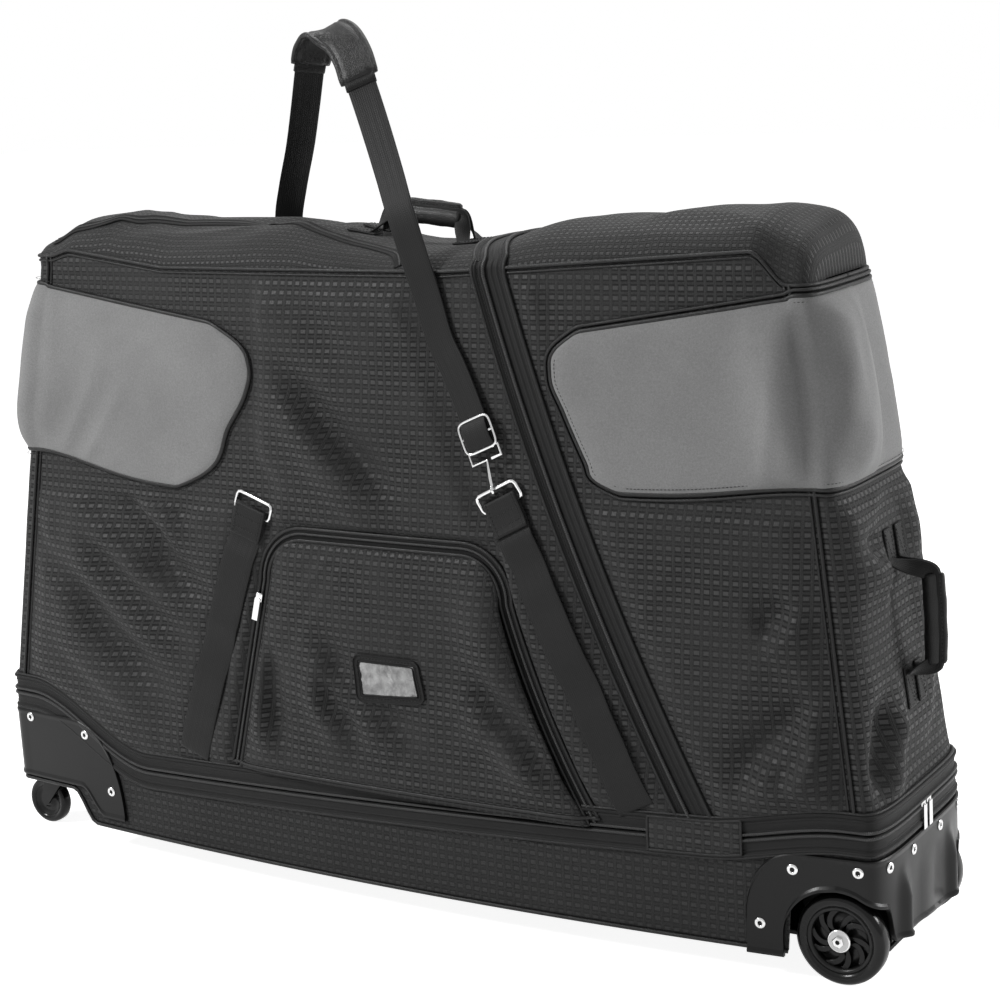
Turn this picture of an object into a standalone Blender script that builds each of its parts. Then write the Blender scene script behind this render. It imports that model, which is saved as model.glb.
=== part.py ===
"""Soft travel bag for a bicycle: a rolling base with a zipped, padded cover.

Frame: metres, +Z up, +X from the caster end to the wheel end, the front face towards -Y.
The origin is the middle of the bag's footprint, on the floor.
"""
import math

import bmesh
import bpy
from mathutils import Matrix, Vector

# Clearances
GAP = 0.0003                    # between pieces that touch
RUN_GAP = 0.0008                # between pieces that move past each other

# Base
BASE_LENGTH = 1.320
BASE_WIDTH = 0.330              # at mid length
BASE_END_WIDTH = 0.256
BASE_UNDERSIDE_Z = 0.036
STEP_UNDERSIDE_Z = 0.082        # raised floor over the casters
BASE_TOP_Z = 0.147              # zip line at mid length
BOARD_THICKNESS = 0.006
WALL_THICKNESS = 0.006
GUARD_THICKNESS = 0.004
CORNER_DEPTH = 0.028            # how far an end wall rounds beyond the side walls
STEP_START_X = 0.545            # towards the casters, measured from the middle
STEP_END_X = 0.505

# Perimeter zip
ZIP_TILT = 0.025
ZIP_CASTER_RISE = 0.088
ZIP_WHEEL_RISE = 0.018
ZIP_CASTER_RISE_X = 0.390
ZIP_WHEEL_RISE_X = 0.450
ZIP_RISE_END_X = 0.610
ZIP_TAPE_HEIGHT = 0.012
ZIP_TAPE_THICKNESS = 0.005

# Cover
COVER_FOOT_LENGTH = 1.318
COVER_TOP_LENGTH = 1.150
COVER_TOP_WIDTH = 0.210
COVER_TOP_END_WIDTH = 0.170
SEAM_Z = 0.810                  # seam between side and top panels
SEAM_CASTER_RISE = 0.026
SEAM_WHEEL_RISE = 0.028
SEAM_RISE_CASTER_X = 0.340
SEAM_RISE_WHEEL_X = 0.100
SEAM_END_DROP = 0.040
SEAM_DROP_X = 0.500
CROWN_HEIGHT = 0.047
CROWN_SAG = 0.028
CROWN_SAG_X = 0.050
CROWN_SAG_REACH = 0.130
CROWN_END_X = 0.420
COVER_THICKNESS = 0.006
CROWN_EDGE_SHARE = 2.4          # powers of the crown's curve across and along the top
CROWN_FALL_SHARE = 0.6
CORNER_SHARE = 4.0              # power of the rounded end outline

# Diagonal zip
BAND_TOP_X = 0.168
BAND_FOOT_X = 0.445
BAND_RIDGE_X = 0.140
BAND_WIDTH = 0.038
BAND_BOW_SHARE = 0.73           # share of the run that is straight; the rest bows
BAND_TURN_SHARE = 0.93          # of the top's half width, where the run over the top begins

# Bumpers: reach from the middle, and heights
BUMPER_THICKNESS = 0.007
BUMPER_GAP = 0.0011
CASTER_BUMPER = {"end": -1, "tip_x": 0.193, "tip_depth": 0.128, "top_tip_z": 0.735, "top_end_z": 0.788,
                 "foot_tip_z": 0.526, "foot_end_z": 0.560}
WHEEL_BUMPER = {"end": 1, "tip_x": 0.252, "tip_depth": 0.090, "top_tip_z": 0.740, "top_end_z": 0.790,
                "foot_tip_z": 0.560, "foot_end_z": 0.577}
CASTER_TIP_SHARES = ((0, 1), (0.08, 0.68), (0.40, 0.28), (0.62, 0.05), (0.78, 0), (0.92, 0.16), (1, 0.50))
WHEEL_TIP_SHARES = ((0, 1), (0.07, 0.64), (0.17, 0.53), (0.50, 0.20), (0.75, 0), (0.92, 0.10), (1, 0.40))

# Front pocket
POCKET_FOOT_Z = 0.168
POCKET_TOP_Z = 0.488
POCKET_LEFT_FOOT_X = -0.237
POCKET_LEFT_TOP_X = -0.167
POCKET_RIGHT_TOP_X = 0.178
POCKET_RIGHT_FOOT_X = 0.315
POCKET_CORNER = 0.070
POCKET_THICKNESS = 0.010
POCKET_FLARE_SHARE = 0.45       # how much of the right edge's run bows outwards at its foot
POCKET_ZIP_WIDTH = 0.012
POCKET_ZIP_THICKNESS = 0.004

# Webbing and rings: place of each ring and of the strap's foot
WEBBING_WIDTH = 0.050
WEBBING_THICKNESS = 0.0025
RING_WIRE = 0.005
RING_HEIGHT = 0.022
RING_SIDE_GAP = 0.0015
FRONT_LEFT_STRAP = {"ring": (-0.191, 0.511), "foot": (-0.305, 0.166)}
FRONT_RIGHT_STRAP = {"ring": (0.183, 0.547), "foot": (0.367, 0.182)}
BACK_LEFT_STRAP = {"ring": (-0.290, 0.480), "foot": (-0.385, 0.156)}
BACK_RIGHT_STRAP = {"ring": (0.183, 0.547), "foot": (0.367, 0.182)}

# Shoulder strap
STRAP_WIDTH = 0.038
STRAP_THICKNESS = 0.0025
# Points along the strap from the front ring over the top to the back ring, as (x, z), and the
# distance from the bag's middle plane there, as a share of its half width
STRAP_ROUTE = ((0.164, 0.607), (0.1425, 0.656), (0.121, 0.6995), (0.102, 0.7335), (0.086, 0.782),
               (0.069, 0.832), (0.05, 0.886), (0.0254, 0.926), (-0.001, 0.964), (-0.027, 1.003),
               (-0.051, 1.042), (-0.069, 1.07), (-0.092, 1.0925), (-0.12, 1.0995), (-0.143, 1.085),
               (-0.16, 1.0615), (-0.194, 1.006), (-0.228, 0.954), (-0.266, 0.9), (-0.294, 0.85),
               (-0.3, 0.79), (-0.3, 0.7), (-0.297, 0.6), (-0.294, 0.545))
STRAP_SIDE_SHARES = (-1.0796, -1.0675, -1.0550, -1.0505, -1.0596, -1.0696, -1.0301, -0.8384, -0.6286,
                     -0.4383, -0.2861, -0.1624, -0.0670, 0, 0.0771, 0.1740, 0.4478, 0.7265, 1.0127, 1.2328,
                     1.2934, 1.2744, 1.2728, 1.2628)
STRAP_ACROSS_SHARES = {"front": (0.92, 0.02, 0.38), "pad_front": (0.86, 0.40, 0.30),
                       "pad_back": (0.86, 0.42, 0.28), "back": (0.98, 0.10, -0.12)}
PAD_START = 10                  # of the route's points, where the pad begins and ends
PAD_END = 15
PAD_WIDTH = 0.052
PAD_THICKNESS = 0.011
ADJUSTER_WIDTH = 0.048
ADJUSTER_HEIGHT = 0.024
ADJUSTER_BAR = 0.0045
ADJUSTER_THICKNESS = 0.003
HOOK_WIRE = 0.0045
HOOK_BRACKET_WIDTH = 0.044
HOOK_BRACKET_HEIGHT = 0.014
HOOK_SHANK = 0.016
HOOK_SLIT_SHARE = 1.5           # of the wire's diameter, between the bracket's end and its neck
HOOK_BEND_DEGREES = (50, 20, -10, -40, -70, -100, -125)

# Handles
HANDLE_WEB_WIDTH = 0.025
HANDLE_WEB_THICKNESS = 0.003
GRIP_WALL = 0.004
GRIP_DEPTH = 0.030
TOP_HANDLE = {"x": 0.012, "span": 0.140, "grip": 0.100, "rise": 0.034, "shift": 0}
END_HANDLE = {"z": 0.405, "span": 0.138, "grip": 0.106, "rise": 0.038, "shift": -0.004}
HANDLE_ARCH_SHARES = ((0, 0), (0.12, 0.10), (0.50, 0.55), (0.82, 0.90), (1, 1))
GRIP_CROWN_SHARE = 1.04
GRIP_REACH_SHARES = (-0.97, -0.5, 0, 0.5, 0.97)
END_HANDLE_Y = 0.020

# Rear wheels and axle
WHEEL_RADIUS = 0.055
WHEEL_WIDTH = 0.024
WHEEL_X = 0.606
WHEEL_FACE_Y = 0.131            # outer face of each wheel
TYRE_DEPTH = 0.0145
HUB_RIM = 0.004
HUB_BOSS_RADIUS = 0.0115
HUB_SPOKES = 5
SPOKE_STEPS = 4                 # angular cells from one spoke to the next
AXLE_RADIUS = 0.004
AXLE_CAP_RADIUS = 0.0125
AXLE_CAP_THICKNESS = 0.002
AXLE_GAP = 0.0004
AXLE_STEPS = 16
ARCH_GAP = 0.008                # between tyre and wheel arch

# Guards
CASTER_GUARD_REACH = 0.445      # from the middle to the end of its lobes
CASTER_GUARD_TOP_Z = 0.186
CASTER_GUARD_FOOT_Z = 0.088
CASTER_GUARD_TOE_Z = 0.050
CASTER_LOBE_START_X = 0.545
CASTER_GUARD_CURVE_SHARE = 2.6  # power of the lobe's upper edge
CASTER_GUARD_HOLLOW_SHARES = (0.38, 0.80)
WHEEL_GUARD_REACH = 0.498
WHEEL_GUARD_TOP_Z = 0.158
WHEEL_GUARD_FOOT_Z = 0.030
WHEEL_GUARD_END_FOOT_Z = 0.050
WHEEL_LOBE_START_X = 0.565
WHEEL_GUARD_SHOULDER_Z = 0.110
WHEEL_GUARD_CURVE_SHARE = 2.4
WELL_WALL_Y = 0.099             # inner wall of each wheel well
WELL_START_X = 0.548

# Casters
CASTER_X = 0.621
CASTER_Y = 0.089
CASTER_TRAIL = 0.024
CASTER_WHEEL_RADIUS = 0.0335
CASTER_WHEEL_WIDTH = 0.018
CASTER_PLATE_LENGTH = 0.068
CASTER_PLATE_WIDTH = 0.052
CASTER_PLATE_THICKNESS = 0.0025
CASTER_RACE_RADIUS = 0.019
CASTER_RACE_HEIGHT = 0.004
CASTER_FORK_THICKNESS = 0.0025
CASTER_PIN_RADIUS = 0.003

# Zip sliders and pulls
SLIDER_LENGTH = 0.012
SLIDER_WIDTH = 0.010
SLIDER_THICKNESS = 0.004
PULL_LENGTH = 0.030
PULL_WIDTH = 0.009
PULL_THICKNESS = 0.0016
BASE_SLIDER_Y = 0.0085
POCKET_SLIDER_DROP = 0.094      # below the pocket's top

# Inside
RAIL_WIDTH = 0.040
RAIL_HEIGHT = 0.020
RAIL_LENGTH = 0.960
RAIL_X = 0.010
RAIL_WALL = 0.003
FORK_MOUNT_X = -0.400
FORK_MOUNT_HEIGHT = 0.050
FORK_MOUNT_WIDTH = 0.100
CRADLE_X = 0.040
CRADLE_HEIGHT = 0.040
CRADLE_LENGTH = 0.080
CRADLE_WIDTH = 0.070
CRADLE_ROLL_RADIUS = 0.024
REAR_MOUNT_X = 0.400
REAR_MOUNT_HEIGHT = 0.048
REAR_MOUNT_WIDTH = 0.130
MOUNT_LENGTH = 0.030
MOUNT_WALL = 0.008
DROPOUT_PIN_RADIUS = 0.006

EDGE_ROUND = 0.0008
SHARP_DEGREES = 35
OVERRUN = 0.002                 # how far a cutter passes the faces it cuts

# Nets of the soft panels
END_SHARES = (-1, -0.985, -0.94, -0.86, -0.70, -0.35, 0, 0.35, 0.70, 0.86, 0.94, 0.985, 1)
PANEL_SHARES = (0, 0.03, 0.065, 0.10, 0.15, 0.20, 0.26, 0.34, 0.45, 0.58, 0.70, 0.80, 0.90, 1)
HOOD_SHARES = (0, 0.2, 0.4, 0.6, 0.75, 0.86, 0.93, 1)
ACROSS_SHARES = (-1, -0.985, -0.93, -0.82, -0.62, -0.34, 0, 0.34, 0.62, 0.82, 0.93, 0.985, 1)
BAND_OVER_SHARES = ACROSS_SHARES[2:7]  # from near the front seam to the ridge
TOP_END_SHARES = (0.97, 0.85, 0.5)     # of the corner's depth, at the ends of a top panel
BUMPER_ROW_SHARES = (0, 0.08, 0.17, 0.33, 0.50, 0.67, 0.80, 0.92, 1)
BUMPER_REACH_SHARES = (0, 0.12, 0.28, 0.46, 0.64, 0.82, 0.95)
CASTER_LOBE_SHARES = (0, 0.05, 0.14, 0.27, 0.44, 0.64, 0.84, 1)
CASTER_CORNER_SHARES = (0.33, 0.66, 1)
WHEEL_LOBE_SHARES = (0, 0.02, 0.10, 0.25, 0.45)
WHEEL_ARCH_SHARES = (0, 0.01, 0.04, 0.09, 0.16, 0.25, 0.36, 0.48)
WHEEL_CORNER_SHARES = (0.5, 1)
OUTLINE_STEP_SHARE = 0.004             # of the end outline, between the points that give its direction
WHEEL_WALL_STEPS = 2                   # columns of the hood before the base walls stop
STEP_ROWS = 4                          # of the raised floor's slope
ROUTE_STEPS = 2
FIT_ROUNDS = 12                        # rounds that settle a place on two outlines
MERGE_DISTANCE = 0.00001

HALF_LENGTH = BASE_LENGTH / 2
CUT_GAP = ZIP_TAPE_HEIGHT / 2 + GAP

COLOURS = {                     # base colour, roughness, metallic
    "weave": ((0.035, 0.036, 0.038), 0.72, 0.0),
    "tape": ((0.022, 0.022, 0.024), 0.60, 0.0),
    "grey_pad": ((0.190, 0.195, 0.205), 0.62, 0.0),
    "moulding": ((0.030, 0.031, 0.033), 0.42, 0.0),
    "tyre": ((0.012, 0.012, 0.013), 0.30, 0.0),
    "chrome": ((0.720, 0.720, 0.730), 0.22, 1.0),
    "steel": ((0.420, 0.420, 0.430), 0.35, 1.0),
    "aluminium": ((0.600, 0.610, 0.620), 0.38, 1.0),
    "leatherette": ((0.020, 0.020, 0.021), 0.45, 0.0),
}


def lerp(a, b, t):
    return a + (b - a) * t


def smooth(t):
    t = min(1.0, max(0.0, t))
    return t * t * (3 - 2 * t)


def table(pairs, t):
    """Straight reading between (place share, value share) pairs."""
    for (t0, v0), (t1, v1) in zip(pairs, pairs[1:]):
        if t <= t1:
            return lerp(v0, v1, (t - t0) / (t1 - t0))
    return pairs[-1][1]


def material(kind):
    found = bpy.data.materials.get(kind)
    if found:
        return found
    colour, roughness, metallic = COLOURS[kind]
    made = bpy.data.materials.new(kind)
    made.use_nodes = True
    made.diffuse_color = (*colour, 1)
    shader = made.node_tree.nodes["Principled BSDF"]
    shader.inputs["Base Color"].default_value = (*colour, 1)
    shader.inputs["Roughness"].default_value = roughness
    shader.inputs["Metallic"].default_value = metallic
    return made


def hold(obj, place, parent):
    """Parents an object to an empty and keeps it at its place in the world."""
    obj["place"] = tuple(place)
    obj.location = place
    if parent:
        obj.parent = parent
        obj.matrix_parent_inverse = Matrix.Translation(-Vector(parent["place"]))
    return obj


def empty(name, place=(0, 0, 0), parent=None):
    holder = bpy.data.objects.new(name, None)
    bpy.context.scene.collection.objects.link(holder)
    return hold(holder, place, parent)


def add(name, mesh, kind, parent=None, origin=(0, 0, 0)):
    """Links a mesh given in world places, with its origin on the joint that moves it."""
    mesh.transform(Matrix.Translation(-Vector(origin)))
    mesh.materials.append(material(kind))
    mesh.shade_smooth()
    mesh.set_sharp_from_angle(angle=math.radians(SHARP_DEGREES))
    obj = bpy.data.objects.new(name, mesh)
    bpy.context.scene.collection.objects.link(obj)
    return hold(obj, origin, parent)


def finished(name, bm):
    bmesh.ops.recalc_face_normals(bm, faces=bm.faces)
    mesh = bpy.data.meshes.new(name)
    bm.to_mesh(mesh)
    bm.free()
    return mesh


def shell_mesh(name, outer, inner, closed=False):
    """A closed sheet between two grids of points; closed joins the last column to the first."""
    bm = bmesh.new()
    rows, columns = len(outer), len(outer[0])
    front = [[bm.verts.new(p) for p in row] for row in outer]
    back = [[bm.verts.new(p) for p in row] for row in inner]
    span = columns if closed else columns - 1
    for i in range(rows - 1):
        for j in range(span):
            k = (j + 1) % columns
            bm.faces.new((front[i][j], front[i][k], front[i + 1][k], front[i + 1][j]))
            bm.faces.new((back[i][j], back[i + 1][j], back[i + 1][k], back[i][k]))
    for j in range(span):
        k = (j + 1) % columns
        bm.faces.new((front[0][j], back[0][j], back[0][k], front[0][k]))
        bm.faces.new((front[-1][j], front[-1][k], back[-1][k], back[-1][j]))
    if not closed:
        for i in range(rows - 1):
            bm.faces.new((front[i][0], front[i + 1][0], back[i + 1][0], back[i][0]))
            bm.faces.new((front[i][-1], back[i][-1], back[i + 1][-1], front[i + 1][-1]))
    return finished(name, bm)


def loft_mesh(name, sections, cyclic=False):
    """Bridges loops of points in order, with a cap at each end unless the loft is cyclic."""
    bm = bmesh.new()
    loops = [[bm.verts.new(p) for p in section] for section in sections]
    count = len(loops[0])
    pairs = list(zip(loops, loops[1:])) + ([(loops[-1], loops[0])] if cyclic else [])
    for low, high in pairs:
        for j in range(count):
            k = (j + 1) % count
            bm.faces.new((low[j], low[k], high[k], high[j]))
    if not cyclic:
        bm.faces.new(loops[0])
        bm.faces.new(loops[-1])
    return finished(name, bm)


def block_mesh(name, centre, size, axes=None):
    """A box with its three edges along axes."""
    bm = bmesh.new()
    bmesh.ops.create_cube(bm, size=1)
    turn = Matrix(axes).transposed().to_4x4() if axes else Matrix.Identity(4)
    place = Matrix.Translation(centre) @ turn @ Matrix.Diagonal((*size, 1))
    bmesh.ops.transform(bm, matrix=place, verts=bm.verts)
    return finished(name, bm)


def turned_mesh(name, profile, centre, axis, steps):
    """Spins a closed profile of (radius, along) points about an axis."""
    axis = Vector(axis).normalized()
    across = axis.orthogonal().normalized()
    bm = bmesh.new()
    verts = [bm.verts.new(Vector(centre) + across * r + axis * a) for r, a in profile]
    edges = [bm.edges.new((verts[i], verts[(i + 1) % len(verts)])) for i in range(len(verts))]
    bmesh.ops.spin(bm, geom=verts + edges, cent=centre, axis=axis, angle=math.tau, steps=steps,
                   use_merge=True)
    bmesh.ops.remove_doubles(bm, verts=bm.verts, dist=MERGE_DISTANCE)
    return finished(name, bm)


def disc_mesh(name, radius, low, high, centre, axis, steps):
    """A solid cylinder between two heights along an axis."""
    axis = Vector(axis).normalized()
    u = axis.orthogonal().normalized()
    v = axis.cross(u)
    rings = []
    for along in (low, high):
        rings.append([Vector(centre) + axis * along + (u * math.cos(a) + v * math.sin(a)) * radius
                      for a in (math.tau * i / steps for i in range(steps))])
    return loft_mesh(name, rings)


def wire(name, points, radius, kind, cyclic=False, parent=None, origin=(0, 0, 0)):
    """A round wire along points, as a curve with a bevel."""
    curve = bpy.data.curves.new(name, "CURVE")
    curve.dimensions = "3D"
    curve.bevel_depth = radius
    curve.bevel_resolution = 2
    curve.render_resolution_u = 0
    curve.use_fill_caps = not cyclic
    spline = curve.splines.new("POLY")
    spline.points.add(len(points) - 1)
    for spot, p in zip(spline.points, points):
        spot.co = (*(Vector(p) - Vector(origin)), 1)
    spline.use_cyclic_u = cyclic
    curve.materials.append(material(kind))
    obj = bpy.data.objects.new(name, curve)
    bpy.context.scene.collection.objects.link(obj)
    return hold(obj, origin, parent)


def soften(obj, width=EDGE_ROUND, segments=1):
    bevel = obj.modifiers.new("Rounded edges", "BEVEL")
    bevel.width = width
    bevel.segments = segments
    bevel.limit_method = "ANGLE"
    return obj


def cut(obj, cutter, operation="DIFFERENCE"):
    cutter.hide_render = True
    cutter.display_type = "WIRE"
    modifier = obj.modifiers.new(cutter.name, "BOOLEAN")
    modifier.object = cutter
    modifier.operation = operation
    modifier.solver = "EXACT"


# Outline of the bag in plan, at every height

def zip_z(x):
    """Height of the perimeter zip, which climbs towards both ends."""
    x = max(-ZIP_RISE_END_X, min(ZIP_RISE_END_X, x))
    caster = smooth((-x - ZIP_CASTER_RISE_X) / (ZIP_RISE_END_X - ZIP_CASTER_RISE_X))
    wheel = smooth((x - ZIP_WHEEL_RISE_X) / (ZIP_RISE_END_X - ZIP_WHEEL_RISE_X))
    return BASE_TOP_Z + ZIP_TILT * x / HALF_LENGTH + ZIP_CASTER_RISE * caster + ZIP_WHEEL_RISE * wheel


def seam_z(x):
    """Height of the seam between side walls and top panels."""
    top_corner = COVER_TOP_LENGTH / 2 - CORNER_DEPTH
    x = max(-top_corner, min(top_corner, x))
    caster = max(0, (-x - SEAM_RISE_CASTER_X) / (top_corner - SEAM_RISE_CASTER_X))
    wheel = max(0, (x - SEAM_RISE_WHEEL_X) / (top_corner - SEAM_RISE_WHEEL_X))
    drop = smooth((abs(x) - SEAM_DROP_X) / (top_corner - SEAM_DROP_X))
    return SEAM_Z + SEAM_CASTER_RISE * caster + SEAM_WHEEL_RISE * wheel - SEAM_END_DROP * drop


def rise_share(x, z):
    """0 at the cover's foot, 1 at the top seam."""
    foot = zip_z(x) + CUT_GAP
    return min(1.0, max(0.0, (z - foot) / (SEAM_Z - foot)))


def half_length(z, end):
    return lerp(COVER_FOOT_LENGTH, COVER_TOP_LENGTH, rise_share(end * HALF_LENGTH, z)) / 2


def half_width(x, z):
    bow = (x / HALF_LENGTH) ** 2
    bow_top = (2 * x / COVER_TOP_LENGTH) ** 2
    low = lerp(BASE_WIDTH, BASE_END_WIDTH, bow) / 2
    high = lerp(COVER_TOP_WIDTH, COVER_TOP_END_WIDTH, bow_top) / 2
    return lerp(low, high, rise_share(x, z))


def corner_x(z, end):
    """Where the side walls end and the rounded end wall begins."""
    return half_length(z, end) - CORNER_DEPTH


def side_frame(x, z, side):
    """Point and outward direction on a side wall; side is -1 for the front, 1 for the back."""
    step = CORNER_DEPTH / 10
    slope = (half_width(x + step, z) - half_width(x - step, z)) / (2 * step)
    return Vector((x, side * half_width(x, z), z)), Vector((-slope, side, 0)).normalized()


def end_spot(w, z, end):
    corner = corner_x(z, end)
    reach = (1 - abs(w) ** CORNER_SHARE) ** (1 / CORNER_SHARE)
    return Vector((end * (corner + CORNER_DEPTH * reach), w * half_width(corner, z), z))


def end_frame(w, z, end):
    """Point and outward direction on an end wall; w runs from -1, front, to 1, back."""
    low, high = max(-1, w - OUTLINE_STEP_SHARE), min(1, w + OUTLINE_STEP_SHARE)
    tangent = end_spot(high, z, end) - end_spot(low, z, end)
    out = Vector((tangent.y, -tangent.x, 0)).normalized() * end
    return end_spot(w, z, end), out


def top_half_width(x):
    end = math.copysign(1, x)
    seam = seam_z(end * HALF_LENGTH)
    corner = corner_x(seam, end)
    if abs(x) <= corner:
        return half_width(x, seam_z(x))
    reach = (abs(x) - corner) / CORNER_DEPTH
    return half_width(corner, seam) * (1 - reach ** CORNER_SHARE) ** (1 / CORNER_SHARE)


def top_z(x, across):
    """Outer height of the crowned top; across runs from -1, front seam, to 1, back seam."""
    fall = max(0, (abs(x) - CROWN_END_X) / (COVER_TOP_LENGTH / 2 - CROWN_END_X))
    crown = CROWN_HEIGHT - CROWN_SAG * math.exp(-((x - CROWN_SAG_X) / CROWN_SAG_REACH) ** 2)
    dome = (1 - abs(across) ** CROWN_EDGE_SHARE) ** CROWN_FALL_SHARE
    return seam_z(x) + GAP + COVER_THICKNESS + crown * dome * math.sqrt(1 - min(1, fall) ** 3)


def band_x(z):
    """Middle of the diagonal zip on the side walls."""
    drop = max(0, (SEAM_Z - z) / (SEAM_Z - zip_z(BAND_FOOT_X) - CUT_GAP))
    return lerp(BAND_TOP_X, BAND_FOOT_X, lerp(drop * drop, drop, BAND_BOW_SHARE))


def band_top_x(across):
    return lerp(BAND_RIDGE_X, BAND_TOP_X, min(1, (across / BAND_TURN_SHARE) ** 2))


def panel_edges(hood):
    """Left and right edges of a side panel as functions of height."""
    half = BAND_WIDTH / 2 + GAP
    if hood:
        return (lambda z: band_x(z) + half), (lambda z: corner_x(z, 1))
    return (lambda z: -corner_x(z, -1)), (lambda z: band_x(z) - half)


def panel_spot(hood, share, rise):
    """Place on a side panel, by its share of the way along and up."""
    left, right = panel_edges(hood)
    z = lerp(BASE_TOP_Z, SEAM_Z, rise)
    for _ in range(FIT_ROUNDS):
        x = lerp(left(z), right(z), share)
        z = lerp(zip_z(x) + CUT_GAP, seam_z(x), rise)
    return x, z


def foot_stations():
    """Where the columns of both side panels meet the perimeter zip."""
    xs = [panel_spot(False, share, 0)[0] for share in PANEL_SHARES]
    return xs + [panel_spot(True, share, 0)[0] for share in HOOD_SHARES]


# Soft walls of the cover and the base

def side_panel(name, hood, side, cover):
    rows = 9
    outer, inner = [], []
    for i in range(rows):
        outer.append([])
        inner.append([])
        for share in HOOD_SHARES if hood else PANEL_SHARES:
            spot, out = side_frame(*panel_spot(hood, share, i / (rows - 1)), side)
            outer[-1].append(spot)
            inner[-1].append(spot - out * COVER_THICKNESS)
    return add(name, shell_mesh(name, outer, inner), "weave", cover)


def end_panel(name, end, cover):
    rows = 7
    outer, inner = [], []
    foot, top = zip_z(end * HALF_LENGTH) + CUT_GAP, seam_z(COVER_TOP_LENGTH / 2 * end)
    apart = Vector((end * GAP, 0, 0))
    for i in range(rows):
        z = lerp(foot, top, i / (rows - 1))
        frames = [end_frame(w * (1 - GAP / BASE_END_WIDTH), z, end) for w in END_SHARES]
        outer.append([spot + apart for spot, _ in frames])
        inner.append([])
        for spot, out in frames:
            back = spot + apart - out * COVER_THICKNESS
            inner[-1].append(Vector((end * max(corner_x(z, end) + GAP, abs(back.x)), back.y, z)))
    return add(name, shell_mesh(name, outer, inner), "weave", cover)


def top_columns(hood, across):
    """Places of a top panel's columns, which meet those of the side panels below it."""
    end = 1 if hood else -1
    corner = corner_x(seam_z(end * HALF_LENGTH), end)
    beyond = [end * (corner + CORNER_DEPTH * share) for share in TOP_END_SHARES]
    moved = band_top_x(across) - BAND_TOP_X
    if hood:
        return [panel_spot(hood, share, 1)[0] + moved * (1 - share) for share in HOOD_SHARES] + beyond[::-1]
    return beyond + [panel_spot(hood, share, 1)[0] + moved * share for share in PANEL_SHARES]


def top_panel(name, hood, cover):
    outer, inner = [], []
    for across in ACROSS_SHARES:
        xs = top_columns(hood, across)
        outer.append([Vector((x, across * top_half_width(x), top_z(x, across))) for x in xs])
        inner.append([p - Vector((0, 0, COVER_THICKNESS)) for p in outer[-1]])
    return add(name, shell_mesh(name, outer, inner), "weave", cover)


def ridge_z(x):
    """Height of the faceted top panel along its middle."""
    xs = top_columns(False, 0)
    for x0, x1 in zip(xs, xs[1:]):
        if x <= x1:
            return lerp(top_z(x0, 0), top_z(x1, 0), (x - x0) / (x1 - x0))
    return top_z(x, 0)


def cover_panels(cover):
    for word, side in (("front", -1), ("back", 1)):
        side_panel(f"{word}_panel", False, side, cover)
        side_panel(f"{word}_hood_panel", True, side, cover)
    end_panel("caster_end_panel", -1, cover)
    end_panel("wheel_end_panel", 1, cover)
    top_panel("top_panel", False, cover)
    top_panel("hood_top_panel", True, cover)


def diagonal_zip(cover):
    """Band with the slanting zip, up the front wall, over the top and down the back wall."""
    half = BAND_WIDTH / 2
    steps = 9
    down = Vector((0, 0, COVER_THICKNESS))
    outer, inner = [], []
    for side in (-1, 1):
        lines = []
        for i in range(steps):
            ends = []
            for shift in (-half, half):
                z = SEAM_Z
                for _ in range(FIT_ROUNDS):
                    x = band_x(z) + shift
                    z = lerp(zip_z(x) + CUT_GAP, seam_z(x), i / (steps - 1))
                ends.append(side_frame(x, z, side))
            lines.append(([spot for spot, _ in ends], [spot - out * COVER_THICKNESS for spot, out in ends]))
        for across in BAND_OVER_SHARES:
            xs = [band_top_x(across) + shift for shift in (-half, half)]
            spots = [Vector((x, -across * side * top_half_width(x), top_z(x, across))) for x in xs]
            lines.append((spots, [spot - down for spot in spots]))
        if side > 0:
            lines = lines[:-1][::-1]
        outer += [line[0] for line in lines]
        inner += [line[1] for line in lines]
    return add("diagonal_zip", shell_mesh("diagonal_zip", outer, inner), "tape", cover)


def outline_frames():
    """Points and outward directions once round the bag's foot, from the caster end along the front."""
    xs = foot_stations()
    frames = [side_frame(x, 0, -1) for x in xs]
    frames += [end_frame(w, 0, 1) for w in END_SHARES[1:-1]]
    frames += [side_frame(x, 0, 1) for x in reversed(xs)]
    frames += [end_frame(w, 0, -1) for w in reversed(END_SHARES[1:-1])]
    return frames


def base_zip(base):
    outer, inner = [], []
    for shift in (-ZIP_TAPE_HEIGHT / 2, ZIP_TAPE_HEIGHT / 2):
        outer.append([])
        inner.append([])
        for spot, out in outline_frames():
            level = Vector((spot.x, spot.y, zip_z(spot.x) + shift))
            outer[-1].append(level)
            inner[-1].append(level - out * ZIP_TAPE_THICKNESS)
    return add("base_zip_tape", shell_mesh("base_zip_tape", outer, inner, closed=True), "tape", base)


def underside_z(x):
    """Floor of the base, stepped up over the casters."""
    step = smooth((-x - STEP_END_X) / (STEP_START_X - STEP_END_X))
    return lerp(BASE_UNDERSIDE_Z, STEP_UNDERSIDE_Z, step)


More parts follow.
